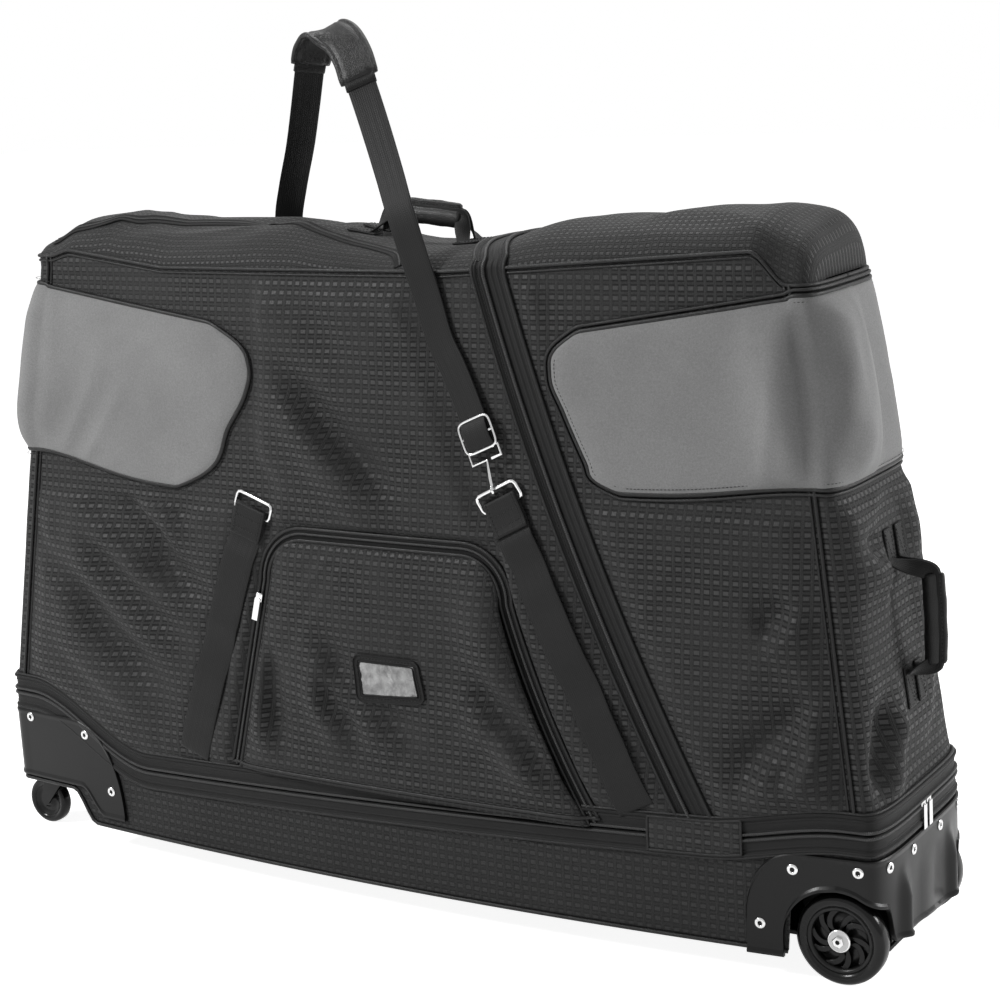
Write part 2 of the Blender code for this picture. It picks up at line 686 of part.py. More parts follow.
def base_wall(name, side, base):
    """Half of the base's soft wall, from the middle of one end to the middle of the other."""
    shares = [max(w, GAP / BASE_END_WIDTH) for w in END_SHARES if 0 <= w < 1]
    xs = foot_stations()
    arch_start = xs[len(PANEL_SHARES) + WHEEL_WALL_STEPS]
    frames = [end_frame(side * w, 0, -1) for w in shares]
    frames += [side_frame(x, 0, side) for x in xs]
    frames += [end_frame(side * w, 0, 1) for w in reversed(shares)]
    outer, inner = [[], []], [[], []]
    for spot, out in frames:
        foot = underside_z(spot.x)
        if spot.x > arch_start + GAP:
            foot = WHEEL_GUARD_TOP_Z - GUARD_THICKNESS + GAP
        for row, z in enumerate((foot, zip_z(spot.x) - CUT_GAP)):
            level = Vector((spot.x, spot.y, z))
            outer[row].append(level)
            inner[row].append(level - out * WALL_THICKNESS)
    return add(name, shell_mesh(name, outer, inner), "weave", base)


def base_board(base):
    """Stiff floor: full width between the guards, narrow between the wheel wells."""
    wheel_end = HALF_LENGTH - WALL_THICKNESS - GAP
    narrow = WELL_WALL_Y - GUARD_THICKNESS - GAP
    inset_by = WALL_THICKNESS + 2 * GAP
    stations = foot_stations()[:len(PANEL_SHARES) + WHEEL_WALL_STEPS + 1]
    arch_start = stations.pop()
    steps = [-lerp(STEP_START_X, STEP_END_X, i / STEP_ROWS) for i in range(STEP_ROWS + 1)]
    sections = []

    def section(x, half):
        z = underside_z(x)
        sections.append([Vector((x, -half, z)), Vector((x, half, z)),
                         Vector((x, half, z + BOARD_THICKNESS)), Vector((x, -half, z + BOARD_THICKNESS))])

    for w in [w for w in END_SHARES if 0 < w < 1]:
        spot, out = end_frame(w, 0, -1)
        spot -= out * inset_by
        section(spot.x, spot.y)
    for x in sorted(stations + steps) + [arch_start - OVERRUN]:
        section(x, half_width(x, 0) - inset_by)
    section(arch_start - OVERRUN + GAP, narrow)
    section(wheel_end, narrow)
    return soften(add("base_board", loft_mesh("base_board", sections), "moulding", base))


# Moulded guards

def guard_ribbon(name, stations):
    """A curved sheet just outside the base's outline; stations are (frame, low z, high z)."""
    outer, inner = [[], [], []], [[], [], []]
    for (spot, out), low, high in stations:
        for row, share in enumerate((0, 0.5, 1)):
            at = Vector((spot.x, spot.y, lerp(low, high, share)))
            outer[row].append(at + out * (GAP + GUARD_THICKNESS))
            inner[row].append(at + out * GAP)
    return shell_mesh(name, outer, inner)


def caster_guard(base):
    corner = corner_x(0, -1)
    lobe = CASTER_LOBE_START_X - CASTER_GUARD_REACH
    xs = [CASTER_GUARD_REACH + lobe * share for share in CASTER_LOBE_SHARES]
    xs += [lerp(CASTER_LOBE_START_X, corner, share) for share in CASTER_CORNER_SHARES]

    def heights(x):
        back = min(1, (x - CASTER_GUARD_REACH) / lobe)
        swell = math.sqrt(1 - (1 - back) ** CASTER_GUARD_CURVE_SHARE)
        top = lerp(CASTER_GUARD_TOE_Z + GUARD_THICKNESS, CASTER_GUARD_TOP_Z, swell)
        start, end = CASTER_GUARD_HOLLOW_SHARES
        foot = lerp(CASTER_GUARD_TOE_Z, CASTER_GUARD_FOOT_Z, smooth((back - start) / (end - start)))
        return foot, top

    stations = []
    for side in (-1, 1):
        part = [(side_frame(-x, 0, side), *heights(x)) for x in xs]
        if side < 0:
            stations += part
            stations += [(end_frame(w, 0, -1), CASTER_GUARD_FOOT_Z, CASTER_GUARD_TOP_Z)
                         for w in END_SHARES[1:-1]]
        else:
            stations += part[::-1]
    name = "caster_end_guard"
    return add(name, guard_ribbon(name, stations), "moulding", base)


def arch_z(x, plain):
    """Lower edge of the wheel guard, raised over the wheel."""
    reach = WHEEL_RADIUS + ARCH_GAP
    away = abs(x - WHEEL_X)
    if away >= reach:
        return plain
    return max(plain, WHEEL_RADIUS + math.sqrt(reach * reach - away * away))


def wheel_guard(base):
    corner = corner_x(0, 1)
    reach = WHEEL_RADIUS + ARCH_GAP
    lobe = WHEEL_LOBE_START_X - WHEEL_GUARD_REACH
    xs = [WHEEL_GUARD_REACH + lobe * share for share in WHEEL_LOBE_SHARES]
    xs += [WHEEL_X - reach * math.cos(math.pi * share) for share in WHEEL_ARCH_SHARES]
    xs += [lerp(WHEEL_X, corner, share) for share in WHEEL_CORNER_SHARES]
    xs = sorted(set(xs))

    def top(x):
        back = min(1, (x - WHEEL_GUARD_REACH) / lobe)
        swell = math.sqrt(1 - (1 - back) ** WHEEL_GUARD_CURVE_SHARE)
        return lerp(WHEEL_GUARD_SHOULDER_Z - lobe / 2, WHEEL_GUARD_TOP_Z, swell)

    stations = []
    ends = []
    for w in END_SHARES[1:-1]:
        frame = end_frame(w, 0, 1)
        y = abs(frame[0].y)
        arched = arch_z(frame[0].x, WHEEL_GUARD_END_FOOT_Z)
        blend = smooth((y - WELL_WALL_Y + GUARD_THICKNESS) / (4 * GUARD_THICKNESS))
        ends.append((frame, lerp(WHEEL_GUARD_END_FOOT_Z, arched, blend), WHEEL_GUARD_TOP_Z))
    for side in (-1, 1):
        part = [(side_frame(x, 0, side), arch_z(x, WHEEL_GUARD_FOOT_Z), top(x)) for x in xs]
        stations += part + ends if side < 0 else part[::-1]
    name = "wheel_end_guard"
    guard = add(name, guard_ribbon(name, stations), "moulding", base)
    for side, word in ((-1, "near"), (1, "far")):
        web_y = side * (WELL_WALL_Y - GUARD_THICKNESS / 2)
        length = HALF_LENGTH + GAP + GUARD_THICKNESS / 2 - WELL_START_X
        low, high = WHEEL_GUARD_END_FOOT_Z, WHEEL_GUARD_TOP_Z - GUARD_THICKNESS
        centre = Vector((WELL_START_X + length / 2, web_y, (low + high) / 2))
        sheet = block_mesh("well", centre, (length, GUARD_THICKNESS, high - low))
        web = add(f"well_{word}", sheet, "moulding", base)
        cut(guard, web, "UNION")
        hole = disc_mesh("hole", AXLE_RADIUS + AXLE_GAP, -GUARD_THICKNESS, GUARD_THICKNESS,
                         (WHEEL_X, web_y, WHEEL_RADIUS), (0, 1, 0), 16)
        cut(guard, add(f"axle_hole_{word}", hole, "moulding", base))
    return guard


# Wheels and casters

def polar_plate(name, radii, steps, keep, centre, axis, low, high):
    """A flat plate made of the ring cells that keep(ring, step) holds, between two heights."""
    axis = Vector(axis).normalized()
    u = Vector((0, 0, 1))
    v = axis.cross(u)
    bm = bmesh.new()
    grid = {}

    def vert(ring, step, level):
        key = (ring, step % steps, level)
        if key not in grid:
            angle = math.tau * (step % steps) / steps
            spoke = u * math.cos(angle) + v * math.sin(angle)
            grid[key] = bm.verts.new(Vector(centre) + spoke * radii[ring] + axis * (low, high)[level])
        return grid[key]

    for ring in range(len(radii) - 1):
        for step in range(steps):
            if not keep(ring, step):
                continue
            corners = ((ring, step), (ring + 1, step), (ring + 1, step + 1), (ring, step + 1))
            bm.faces.new([vert(*c, 0) for c in corners])
            bm.faces.new([vert(*c, 1) for c in reversed(corners)])
            beyond = ((ring, step - 1), (ring + 1, step), (ring, step + 1), (ring - 1, step))
            for k, (near_ring, near_step) in enumerate(beyond):
                inside = 0 <= near_ring < len(radii) - 1
                if not (inside and keep(near_ring, near_step % steps)):
                    a, b = corners[k], corners[(k + 1) % 4]
                    bm.faces.new((vert(*a, 0), vert(*a, 1), vert(*b, 1), vert(*b, 0)))
    return finished(name, bm)


def rear_wheel(word, side, base):
    centre = Vector((WHEEL_X, side * (WHEEL_FACE_Y - WHEEL_WIDTH / 2), WHEEL_RADIUS))
    wheel = empty(f"rear_wheel_{word}", centre, base)
    half = WHEEL_WIDTH / 2
    core = WHEEL_RADIUS - TYRE_DEPTH
    shoulder = TYRE_DEPTH / 3
    profile = [(core, -half), (WHEEL_RADIUS - shoulder, -half), (WHEEL_RADIUS, shoulder - half),
               (WHEEL_RADIUS, half - shoulder), (WHEEL_RADIUS - shoulder, half), (core, half)]
    tyre = turned_mesh("tyre", profile, centre, (0, 1, 0), 36)
    add(f"rear_tyre_{word}", tyre, "tyre", wheel, centre)
    radii = (AXLE_RADIUS + AXLE_GAP, HUB_BOSS_RADIUS, core - GAP - HUB_RIM, core - GAP)
    steps = HUB_SPOKES * SPOKE_STEPS
    plate = polar_plate("hub", radii, steps, lambda ring, step: ring != 1 or step % SPOKE_STEPS < 2,
                        centre, (0, 1, 0), -half + GUARD_THICKNESS / 2, half - GUARD_THICKNESS / 2)
    add(f"rear_hub_{word}", plate, "moulding", wheel, centre)


def rear_axle(base):
    cap_face = WHEEL_FACE_Y - GUARD_THICKNESS / 2 + RUN_GAP
    face = cap_face + AXLE_CAP_THICKNESS
    profile = [(AXLE_CAP_RADIUS, -face), (AXLE_CAP_RADIUS, -cap_face), (AXLE_RADIUS, -cap_face),
               (AXLE_RADIUS, cap_face), (AXLE_CAP_RADIUS, cap_face), (AXLE_CAP_RADIUS, face)]
    rings = [[Vector((WHEEL_X + radius * math.cos(a), along, WHEEL_RADIUS + radius * math.sin(a)))
              for a in (math.tau * i / AXLE_STEPS for i in range(AXLE_STEPS))] for radius, along in profile]
    return add("rear_axle", loft_mesh("rear_axle", rings), "steel", base)


def caster(word, side, base):
    y = side * CASTER_Y
    top = STEP_UNDERSIDE_Z - GAP
    stem = Vector((-CASTER_X, y, top))
    plate_centre = stem - Vector((0, 0, CASTER_PLATE_THICKNESS / 2))
    size = (CASTER_PLATE_LENGTH, CASTER_PLATE_WIDTH, CASTER_PLATE_THICKNESS)
    plate = add(f"caster_plate_{word}", block_mesh("plate", plate_centre, size), "steel", base)
    race_foot = top - CASTER_PLATE_THICKNESS - CASTER_RACE_HEIGHT
    race = disc_mesh("race", CASTER_RACE_RADIUS, race_foot - OVERRUN / 2 + GAP,
                     top - CASTER_PLATE_THICKNESS / 2, (-CASTER_X, y, 0), (0, 0, 1), 20)
    cut(plate, add(f"caster_race_{word}", race, "steel", base), "UNION")

    swivel = empty(f"caster_swivel_{word}", stem, base)
    fork_top = race_foot - OVERRUN / 2
    pin = Vector((-CASTER_X - CASTER_TRAIL, y, CASTER_WHEEL_RADIUS))
    leg_y = CASTER_WHEEL_WIDTH / 2 + RUN_GAP
    crown_z = fork_top - CASTER_FORK_THICKNESS
    fore, rear = CASTER_RACE_RADIUS - CASTER_FORK_THICKNESS, CASTER_RACE_RADIUS + CASTER_FORK_THICKNESS
    width = 2 * (leg_y + CASTER_FORK_THICKNESS)
    crown = block_mesh("crown", (-CASTER_X - (rear - fore) / 2, y, fork_top - CASTER_FORK_THICKNESS / 2),
                       (fore + rear, width, CASTER_FORK_THICKNESS))
    fork = add(f"caster_fork_{word}", crown, "steel", swivel, stem)
    lug = 2 * CASTER_PIN_RADIUS
    for way in (-1, 1):
        y0, y1 = y + way * leg_y, y + way * (leg_y + CASTER_FORK_THICKNESS)
        upper = crown_z + CASTER_FORK_THICKNESS / 2
        profile = [(-CASTER_X + fore, upper), (pin.x + lug, pin.z - lug / 2), (pin.x, pin.z - lug),
                   (pin.x - lug, pin.z), (-CASTER_X - rear, upper)]
        sections = [[Vector((px, at, pz)) for px, pz in profile] for at in (y0, y1)]
        leg = add(f"caster_leg_{word}_{'left' if way < 0 else 'right'}", loft_mesh("leg", sections), "steel",
                  swivel, stem)
        cut(fork, leg, "UNION")
    reach = leg_y + CASTER_FORK_THICKNESS / 2
    rod = disc_mesh("rod", CASTER_PIN_RADIUS, -reach, reach, pin, (0, 1, 0), 12)
    cut(fork, add(f"caster_pin_{word}", rod, "steel", swivel, stem), "UNION")

    roll = empty(f"caster_roll_{word}", pin, swivel)
    half = CASTER_WHEEL_WIDTH / 2
    chamfer = half / 3
    bore = CASTER_PIN_RADIUS + AXLE_GAP
    profile = [(bore, -half), (CASTER_WHEEL_RADIUS - chamfer, -half), (CASTER_WHEEL_RADIUS, chamfer - half),
               (CASTER_WHEEL_RADIUS, half - chamfer), (CASTER_WHEEL_RADIUS - chamfer, half), (bore, half)]
    add(f"caster_wheel_{word}", turned_mesh("wheel", profile, pin, (0, 1, 0), 32), "tyre", roll, pin)


# Pieces sewn on the walls

def bumper(name, shape, tip_shares, cover):
    """Padded patch that wraps an end, from a rounded tip on the front to one on the back."""
    end = shape["end"]

    def height(x, row):
        along = smooth((abs(x) - shape["tip_x"]) / (COVER_TOP_LENGTH / 2 - shape["tip_x"]))
        foot = lerp(shape["foot_tip_z"], shape["foot_end_z"], along ** 3)
        rise = (abs(x) - shape["tip_x"]) / (COVER_TOP_LENGTH / 2 - shape["tip_x"])
        top = lerp(shape["top_tip_z"], shape["top_end_z"], min(1, max(0, rise)))
        return lerp(foot, top, row)

    def side_frames(row, side):
        tip = shape["tip_x"] + shape["tip_depth"] * table(tip_shares, row)
        frames = []
        for share in BUMPER_REACH_SHARES:
            z = lerp(shape["foot_tip_z"], shape["top_end_z"], row)
            for _ in range(FIT_ROUNDS):
                x = lerp(tip, corner_x(z, end), share)
                z = height(x, row)
            frames.append(side_frame(end * x, z, side))
        return frames

    outer, inner = [], []
    for row in BUMPER_ROW_SHARES:
        z = height(COVER_TOP_LENGTH / 2, row)
        frames = side_frames(row, -1)
        frames += [end_frame(w, z, end) for w in END_SHARES]
        frames += side_frames(row, 1)[::-1]
        outer.append([spot + out * (BUMPER_GAP + BUMPER_THICKNESS) for spot, out in frames])
        inner.append([spot + out * BUMPER_GAP for spot, out in frames])
    return add(name, shell_mesh(name, outer, inner), "grey_pad", cover)


def pocket_edge(z, right):
    """Sloping side edges of the front pocket."""
    drop = (POCKET_TOP_Z - z) / (POCKET_TOP_Z - POCKET_FOOT_Z)
    if right:
        bowed = lerp(drop, drop * drop, POCKET_FLARE_SHARE)
        return lerp(POCKET_RIGHT_TOP_X, POCKET_RIGHT_FOOT_X, bowed)
    return lerp(POCKET_LEFT_TOP_X, POCKET_LEFT_FOOT_X, drop)


def pocket_outline():
    """Points of the pocket's edge, up its left side, over the rounded top and down its right side."""
    straight = 6
    top_turn = POCKET_TOP_Z - POCKET_CORNER
    rising = [lerp(POCKET_FOOT_Z, top_turn, i / straight) for i in range(straight)]
    left = [(pocket_edge(z, False), z) for z in rising]
    right = [(pocket_edge(z, True), z) for z in reversed(rising)]
    arc = []
    for way in (False, True):
        edge = pocket_edge(top_turn, way)
        inward = -POCKET_CORNER if way else POCKET_CORNER
        turn = [(edge + inward * (1 - math.cos(a)), top_turn + POCKET_CORNER * math.sin(a))
                for a in (math.radians(d) for d in (0, 18, 36, 54, 72, 90))]
        arc.append(turn if not way else turn[::-1])
    middle = [(lerp(arc[0][-1][0], arc[1][0][0], share), POCKET_TOP_Z) for share in (0.25, 0.5, 0.75)]
    return left + arc[0] + middle + arc[1] + right


def inset(path, amount):
    """Moves an open outline sideways, towards its inside."""
    moved = []
    for i, (x, z) in enumerate(path):
        x0, z0 = path[max(0, i - 1)]
        x1, z1 = path[min(len(path) - 1, i + 1)]
        length = math.hypot(x1 - x0, z1 - z0)
        moved.append((x + (z1 - z0) / length * amount, z - (x1 - x0) / length * amount))
    return moved


def raised(x, z, side, lift):
    spot, out = side_frame(x, z, side)
    return spot + out * lift


def pocket(cover):
    edge = pocket_outline()
    band = inset(edge, POCKET_ZIP_WIDTH)
    lines = (edge, band)
    outer = [[raised(x, z, -1, GAP + POCKET_ZIP_THICKNESS) for x, z in line] for line in lines]
    inner = [[raised(x, z, -1, GAP) for x, z in line] for line in lines]
    add("pocket_zip", shell_mesh("pocket_zip", outer, inner), "tape", cover)

    body = inset(edge, POCKET_ZIP_WIDTH + GAP)
    columns = 11
    outer, inner = [], []
    half = len(body) // 2
    for (x0, z0), (x1, z1) in zip(body[:half], body[::-1][:half]):
        line = [(lerp(x0, x1, j / (columns - 1)), lerp(z0, z1, j / (columns - 1))) for j in range(columns)]
        outer.append([raised(x, z, -1, GAP + POCKET_THICKNESS) for x, z in line])
        inner.append([raised(x, z, -1, GAP) for x, z in line])
    add("front_pocket", shell_mesh("front_pocket", outer, inner), "weave", cover)


def ring_bars(shape, side, hooked):
    """Lower and upper bar places of a ring, and the direction along them; a hook holds the upper bar out."""
    (rx, rz), (fx, fz) = shape["ring"], shape["foot"]
    middle, _ = side_frame(rx, rz, side)
    foot, _ = side_frame(fx, fz, side)
    beside, _ = side_frame(rx + RING_HEIGHT, rz, side)
    above, _ = side_frame(rx, rz + RING_HEIGHT, side)
    out = (above - middle).cross(beside - middle).normalized() * side
    up = middle - foot
    up = (up - out * up.dot(out)).normalized()
    along = up.cross(out).normalized()
    lift = 2 * GAP + RING_WIRE / 2
    high_lift = lift + HOOK_WIRE + RUN_GAP if hooked else lift
    return middle - up * RING_HEIGHT / 2 + out * lift, middle + up * RING_HEIGHT / 2 + out * high_lift, along


def lower_strap(word, shape, side, cover):
    """Flat webbing from a ring's lower bar down to the perimeter zip."""
    (rx, rz), (fx, fz) = shape["ring"], shape["foot"]
    length = math.hypot(rx - fx, rz - fz)
    up_x, up_z = (rx - fx) / length, (rz - fz) / length
    start = (RING_HEIGHT + RING_WIRE) / 2 + 2 * GAP
    rows = 9
    outer = [[] for _ in range(rows)]
    inner = [[] for _ in range(rows)]
    for across in (-WEBBING_WIDTH / 2, 0, WEBBING_WIDTH / 2):
        x, z = rx + up_z * across, rz - up_x * across
        reach = length
        for _ in range(FIT_ROUNDS):
            reach = (z - zip_z(x - up_x * reach) - CUT_GAP) / up_z
        for i in range(rows):
            down = lerp(reach, start, i / (rows - 1))
            spot = (x - up_x * down, z - up_z * down)
            outer[i].append(raised(*spot, side, 2 * GAP + WEBBING_THICKNESS))
            inner[i].append(raised(*spot, side, 2 * GAP))
    add(f"webbing_{word}", shell_mesh(f"webbing_{word}", outer, inner), "tape", cover)


def rounded_loop(centre, along, up, width, height, corner):
    """Points of a rounded rectangle, three to a corner."""
    points = []
    for sx, sy in ((1, 1), (-1, 1), (-1, -1), (1, -1)):
        middle = centre + along * sx * (width / 2 - corner) + up * sy * (height / 2 - corner)
        start = {(1, 1): 0, (-1, 1): 90, (-1, -1): 180, (1, -1): 270}[(sx, sy)]
        for turn in (0, 45, 90):
            a = math.radians(start + turn)
            points.append(middle + (along * math.cos(a) + up * math.sin(a)) * corner)
    return points


def ring(word, shape, side, cover, loose):
    low, high, along = ring_bars(shape, side, not loose)
    width = WEBBING_WIDTH + 2 * RING_SIDE_GAP + RING_WIRE
    up = (high - low).normalized()
    points = rounded_loop((low + high) / 2, along, up, width, (high - low).length, RING_WIRE)
    parent, origin = cover, (0, 0, 0)
    if loose:
        parent, origin = empty(f"ring_hinge_{word}", low, cover), low
        parent["axis"] = tuple(along)
    wire(f"ring_{word}", points, RING_WIRE / 2, "chrome", True, parent, origin)


# Shoulder strap

def curve_through(points, steps):
    """Points on a smooth curve through the route's own points."""
    route = [Vector(p) for p in points]
    spots = []
    for i in range(len(route) - 1):
        p0, p1, p2, p3 = route[max(0, i - 1)], route[i], route[i + 1], route[min(len(route) - 1, i + 2)]
        for k in range(steps):
            t = k / steps
            spots.append(0.5 * ((2 * p1) + (p2 - p0) * t + (2 * p0 - 5 * p1 + 4 * p2 - p3) * t * t
                                + (3 * p1 - p0 - 3 * p2 + p3) * t ** 3))
    return spots + [route[-1]]


def band_mesh(name, frames, width, thickness):
    """A flat band along frames of (place, across, out)."""
    outer, inner = [], []
    for spot, across, out in frames:
        edge, lift = across * width / 2, out * thickness / 2
        outer.append([spot - edge + lift, spot + edge + lift])
        inner.append([spot - edge - lift, spot + edge - lift])
    return shell_mesh(name, outer, inner)


def strap_runs():
    """Frames along the strap in three runs that meet at the pad's ends: front, pad and back."""
    places = [(x, share * half_width(x, z), z) for (x, z), share in zip(STRAP_ROUTE, STRAP_SIDE_SHARES)]
    route = curve_through(places, ROUTE_STEPS)
    stops = (0, ROUTE_STEPS * PAD_START, ROUTE_STEPS * PAD_END, len(route) - 1)
    sides = [Vector(STRAP_ACROSS_SHARES[key]) for key in ("front", "pad_front", "pad_back", "back")]
    runs = []
    for part in range(3):
        first, last = stops[part], stops[part + 1]
        run = []
        for i in range(first, last + 1):
            ahead = (route[min(len(route) - 1, i + 1)] - route[max(0, i - 1)]).normalized()
            across = sides[part].lerp(sides[part + 1], ((i - first) / (last - first)) ** 2)
            across = (across - ahead * across.dot(ahead)).normalized()
            spot = route[i]
            if part == 0 and i == last:
                spot = spot - ahead * 2 * GAP
            if part == 2 and i == first:
                spot = spot + ahead * 2 * GAP
            run.append((spot, across, across.cross(ahead).normalized()))
        runs.append(run)
    return runs


def shoulder_strap(cover):
    names = ("strap_front", "shoulder_pad", "strap_back")
    for name, frames in zip(names, strap_runs()):
        padded = name == "shoulder_pad"
        width, thickness = (PAD_WIDTH, PAD_THICKNESS) if padded else (STRAP_WIDTH, STRAP_THICKNESS)
        add(name, band_mesh(name, frames, width, thickness), "leatherette" if padded else "tape", cover)


def strap_adjuster(cover):
    """A flat buckle with two slots, which slides along the front run."""
    frames = strap_runs()[0]
    low, across, _ = frames[0]
    ahead = (frames[2 * ROUTE_STEPS][0] - low).normalized()
    across = (across - ahead * across.dot(ahead)).normalized()
    out = across.cross(ahead).normalized()
    lift = STRAP_THICKNESS / 2 + RUN_GAP
    centre = low + ahead * (ADJUSTER_HEIGHT / 2 + ADJUSTER_BAR) + out * lift
    holder = empty("adjuster_slide", centre, cover)
    holder["axis"] = tuple(ahead)
    bm = bmesh.new()
    side, edge = ADJUSTER_WIDTH / 2, ADJUSTER_HEIGHT / 2
    xs = [-side, ADJUSTER_BAR - side, side - ADJUSTER_BAR, side]
    zs = [-edge, ADJUSTER_BAR - edge, -ADJUSTER_BAR / 2, ADJUSTER_BAR / 2, edge - ADJUSTER_BAR, edge]
    grid = [[[bm.verts.new(centre + across * x + ahead * z + out * level) for x in xs] for z in zs]
            for level in (0, ADJUSTER_THICKNESS)]

    def solid(i, j):
        return 0 <= i < 5 and 0 <= j < 3 and not (i in (1, 3) and j == 1)

    for i in range(5):
        for j in range(3):
            if not solid(i, j):
                continue
            cell = ((i, j), (i, j + 1), (i + 1, j + 1), (i + 1, j))
            bm.faces.new([grid[0][a][b] for a, b in cell])
            bm.faces.new([grid[1][a][b] for a, b in reversed(cell)])
            for k, (ni, nj) in enumerate(((i - 1, j), (i, j + 1), (i + 1, j), (i, j - 1))):
                if not solid(ni, nj):
                    (a, b), (c, d) = cell[k], cell[(k + 1) % 4]
                    bm.faces.new((grid[0][a][b], grid[1][a][b], grid[1][c][d], grid[0][c][d]))
    add("strap_adjuster", finished("strap_adjuster", bm), "chrome", holder, centre)


def snap_hook(word, strap_end, shape, side, cover):
    """Bracket for the strap, a shank, and a bend round the ring's top bar, as one wire."""
    end, across, out = strap_end
    rise = out.cross(across).normalized()
    if rise.z < 0:
        rise = -rise
    _, top_bar, _ = ring_bars(shape, side, True)
    top = end - rise * HOOK_WIRE / 2
    neck = top - rise * HOOK_BRACKET_HEIGHT
    half, slit = HOOK_BRACKET_WIDTH / 2, HOOK_WIRE * HOOK_SLIT_SHARE
    bracket = [neck + across * slit, neck + across * half, top + across * half, top - across * half,
               neck - across * half, neck]
    shank = (neck - top_bar).normalized()
    face = Vector((0, side, 0))
    face = (face - shank * face.dot(shank)).normalized()
    radius = (RING_WIRE + HOOK_WIRE) / 2 + RUN_GAP
    bend = [top_bar + (face * math.cos(a) + shank * math.sin(a)) * radius
            for a in (math.radians(d) for d in HOOK_BEND_DEGREES)]
    start = top_bar + shank * (radius + HOOK_SHANK / 2) + face * radius / 2
    wire(f"snap_hook_{word}", bracket + [start] + bend, HOOK_WIRE / 2, "chrome", False, cover)


# Handles

def handle(word, feet, out, shape, cover):
    """Arched webbing between two feet, with a wrapped grip; out points away from the bag."""
    low, high = feet
    centre = (low + high) / 2
    along = (high - low).normalized()
    out = (out - along * out.dot(along)).normalized()
    across = along.cross(out).normalized()
    half, grip, rise, shift = (high - low).length / 2, shape["grip"] / 2, shape["rise"], shape["shift"]
    web = HANDLE_WEB_THICKNESS / 2
    base = centre + out * (web + GAP)
    hinge = empty(f"{word}_handle_flop", base, cover)
    hinge["axis"] = tuple(along)
    arc = [(lerp(-half, shift - grip, place), rise * level) for place, level in HANDLE_ARCH_SHARES]
    arc.append((shift, rise * GRIP_CROWN_SHARE))
    arc += [(lerp(half, shift + grip, place), rise * level) for place, level in reversed(HANDLE_ARCH_SHARES)]
    path = [base + along * a + out * o for a, o in arc]
    sections = []
    for i, spot in enumerate(path):
        ahead = (path[min(len(path) - 1, i + 1)] - path[max(0, i - 1)]).normalized()
        if i in (0, len(path) - 1):
            ahead = along
        side = across * HANDLE_WEB_WIDTH / 2
        normal = across.cross(ahead).normalized() * web
        sections.append([spot - side - normal, spot + side - normal,
                         spot + side + normal, spot - side + normal])
    name = f"{word}_handle_webbing"
    add(name, loft_mesh(name, sections), "tape", hinge, base)

    bore_wide, bore_deep = HANDLE_WEB_WIDTH / 2 + GAP, web + GAP
    wide, deep = GRIP_DEPTH / 2, web + GAP + GRIP_WALL
    round_by = GRIP_WALL / 2
    skin_outline = ((-wide, round_by - deep), (round_by - wide, -deep), (wide - round_by, -deep),
                    (wide, round_by - deep), (wide, deep - round_by), (wide - round_by, deep),
                    (round_by - wide, deep), (-wide, deep - round_by))
    bore_outline = ((-bore_wide, -bore_deep), (-bore_wide / 2, -bore_deep), (bore_wide / 2, -bore_deep),
                    (bore_wide, -bore_deep), (bore_wide, bore_deep), (bore_wide / 2, bore_deep),
                    (-bore_wide / 2, bore_deep), (-bore_wide, bore_deep))
    outer, inner = [], []
    for reach in GRIP_REACH_SHARES:
        spot = base + along * (shift + grip * reach) + out * rise * lerp(GRIP_CROWN_SHARE, 1, abs(reach))
        outer.append([spot + across * a + out * o for a, o in skin_outline])
        inner.append([spot + across * a + out * o for a, o in bore_outline])
    name = f"{word}_handle_grip"
    add(name, shell_mesh(name, outer, inner, closed=True), "leatherette", hinge, base)


def handles(cover):
    reach = TOP_HANDLE["span"] / 2
    feet = [Vector((x, 0, ridge_z(x))) for x in (TOP_HANDLE["x"] - reach, TOP_HANDLE["x"] + reach)]
    handle("top", feet, Vector((0, 0, 1)), TOP_HANDLE, cover)
    reach = END_HANDLE["span"] / 2
    for word, end in (("wheel_end", 1), ("caster_end", -1)):
        feet = [Vector((end * (half_length(z, end) + GAP), END_HANDLE_Y * end, z))
                for z in (END_HANDLE["z"] - reach, END_HANDLE["z"] + reach)]
        handle(word, feet, Vector((end, 0, 0)), END_HANDLE, cover)


# Zip sliders

def slider(word, centre, along, out, down, owner):
    """A slider on a zip with a hanging pull, hinged on the slider's face."""
    across = along.cross(out).normalized()
    holder = empty(f"{word}_slide", centre, owner)
    holder["axis"] = tuple(along)
    middle = centre + out * (SLIDER_THICKNESS / 2)
    size = (SLIDER_LENGTH, SLIDER_WIDTH, SLIDER_THICKNESS)
    block = block_mesh("slider", middle, size, (along, across, out))
    soften(add(f"{word}_slider", block, "chrome", holder, centre))
    lift = PULL_THICKNESS / 2 + 2 * GAP
    pivot = centre + out * (SLIDER_THICKNESS + lift)
    side = down.cross(out).normalized()
    hinge = empty(f"{word}_pull_hinge", pivot, holder)
    hinge["axis"] = tuple(side)
    middle = pivot + down * (lift + PULL_LENGTH) / 2
    tab = block_mesh("pull", middle, (PULL_LENGTH, PULL_WIDTH, PULL_THICKNESS), (down, side, out))
    soften(add(f"{word}_pull", tab, "chrome", hinge, pivot), PULL_THICKNESS / 4)


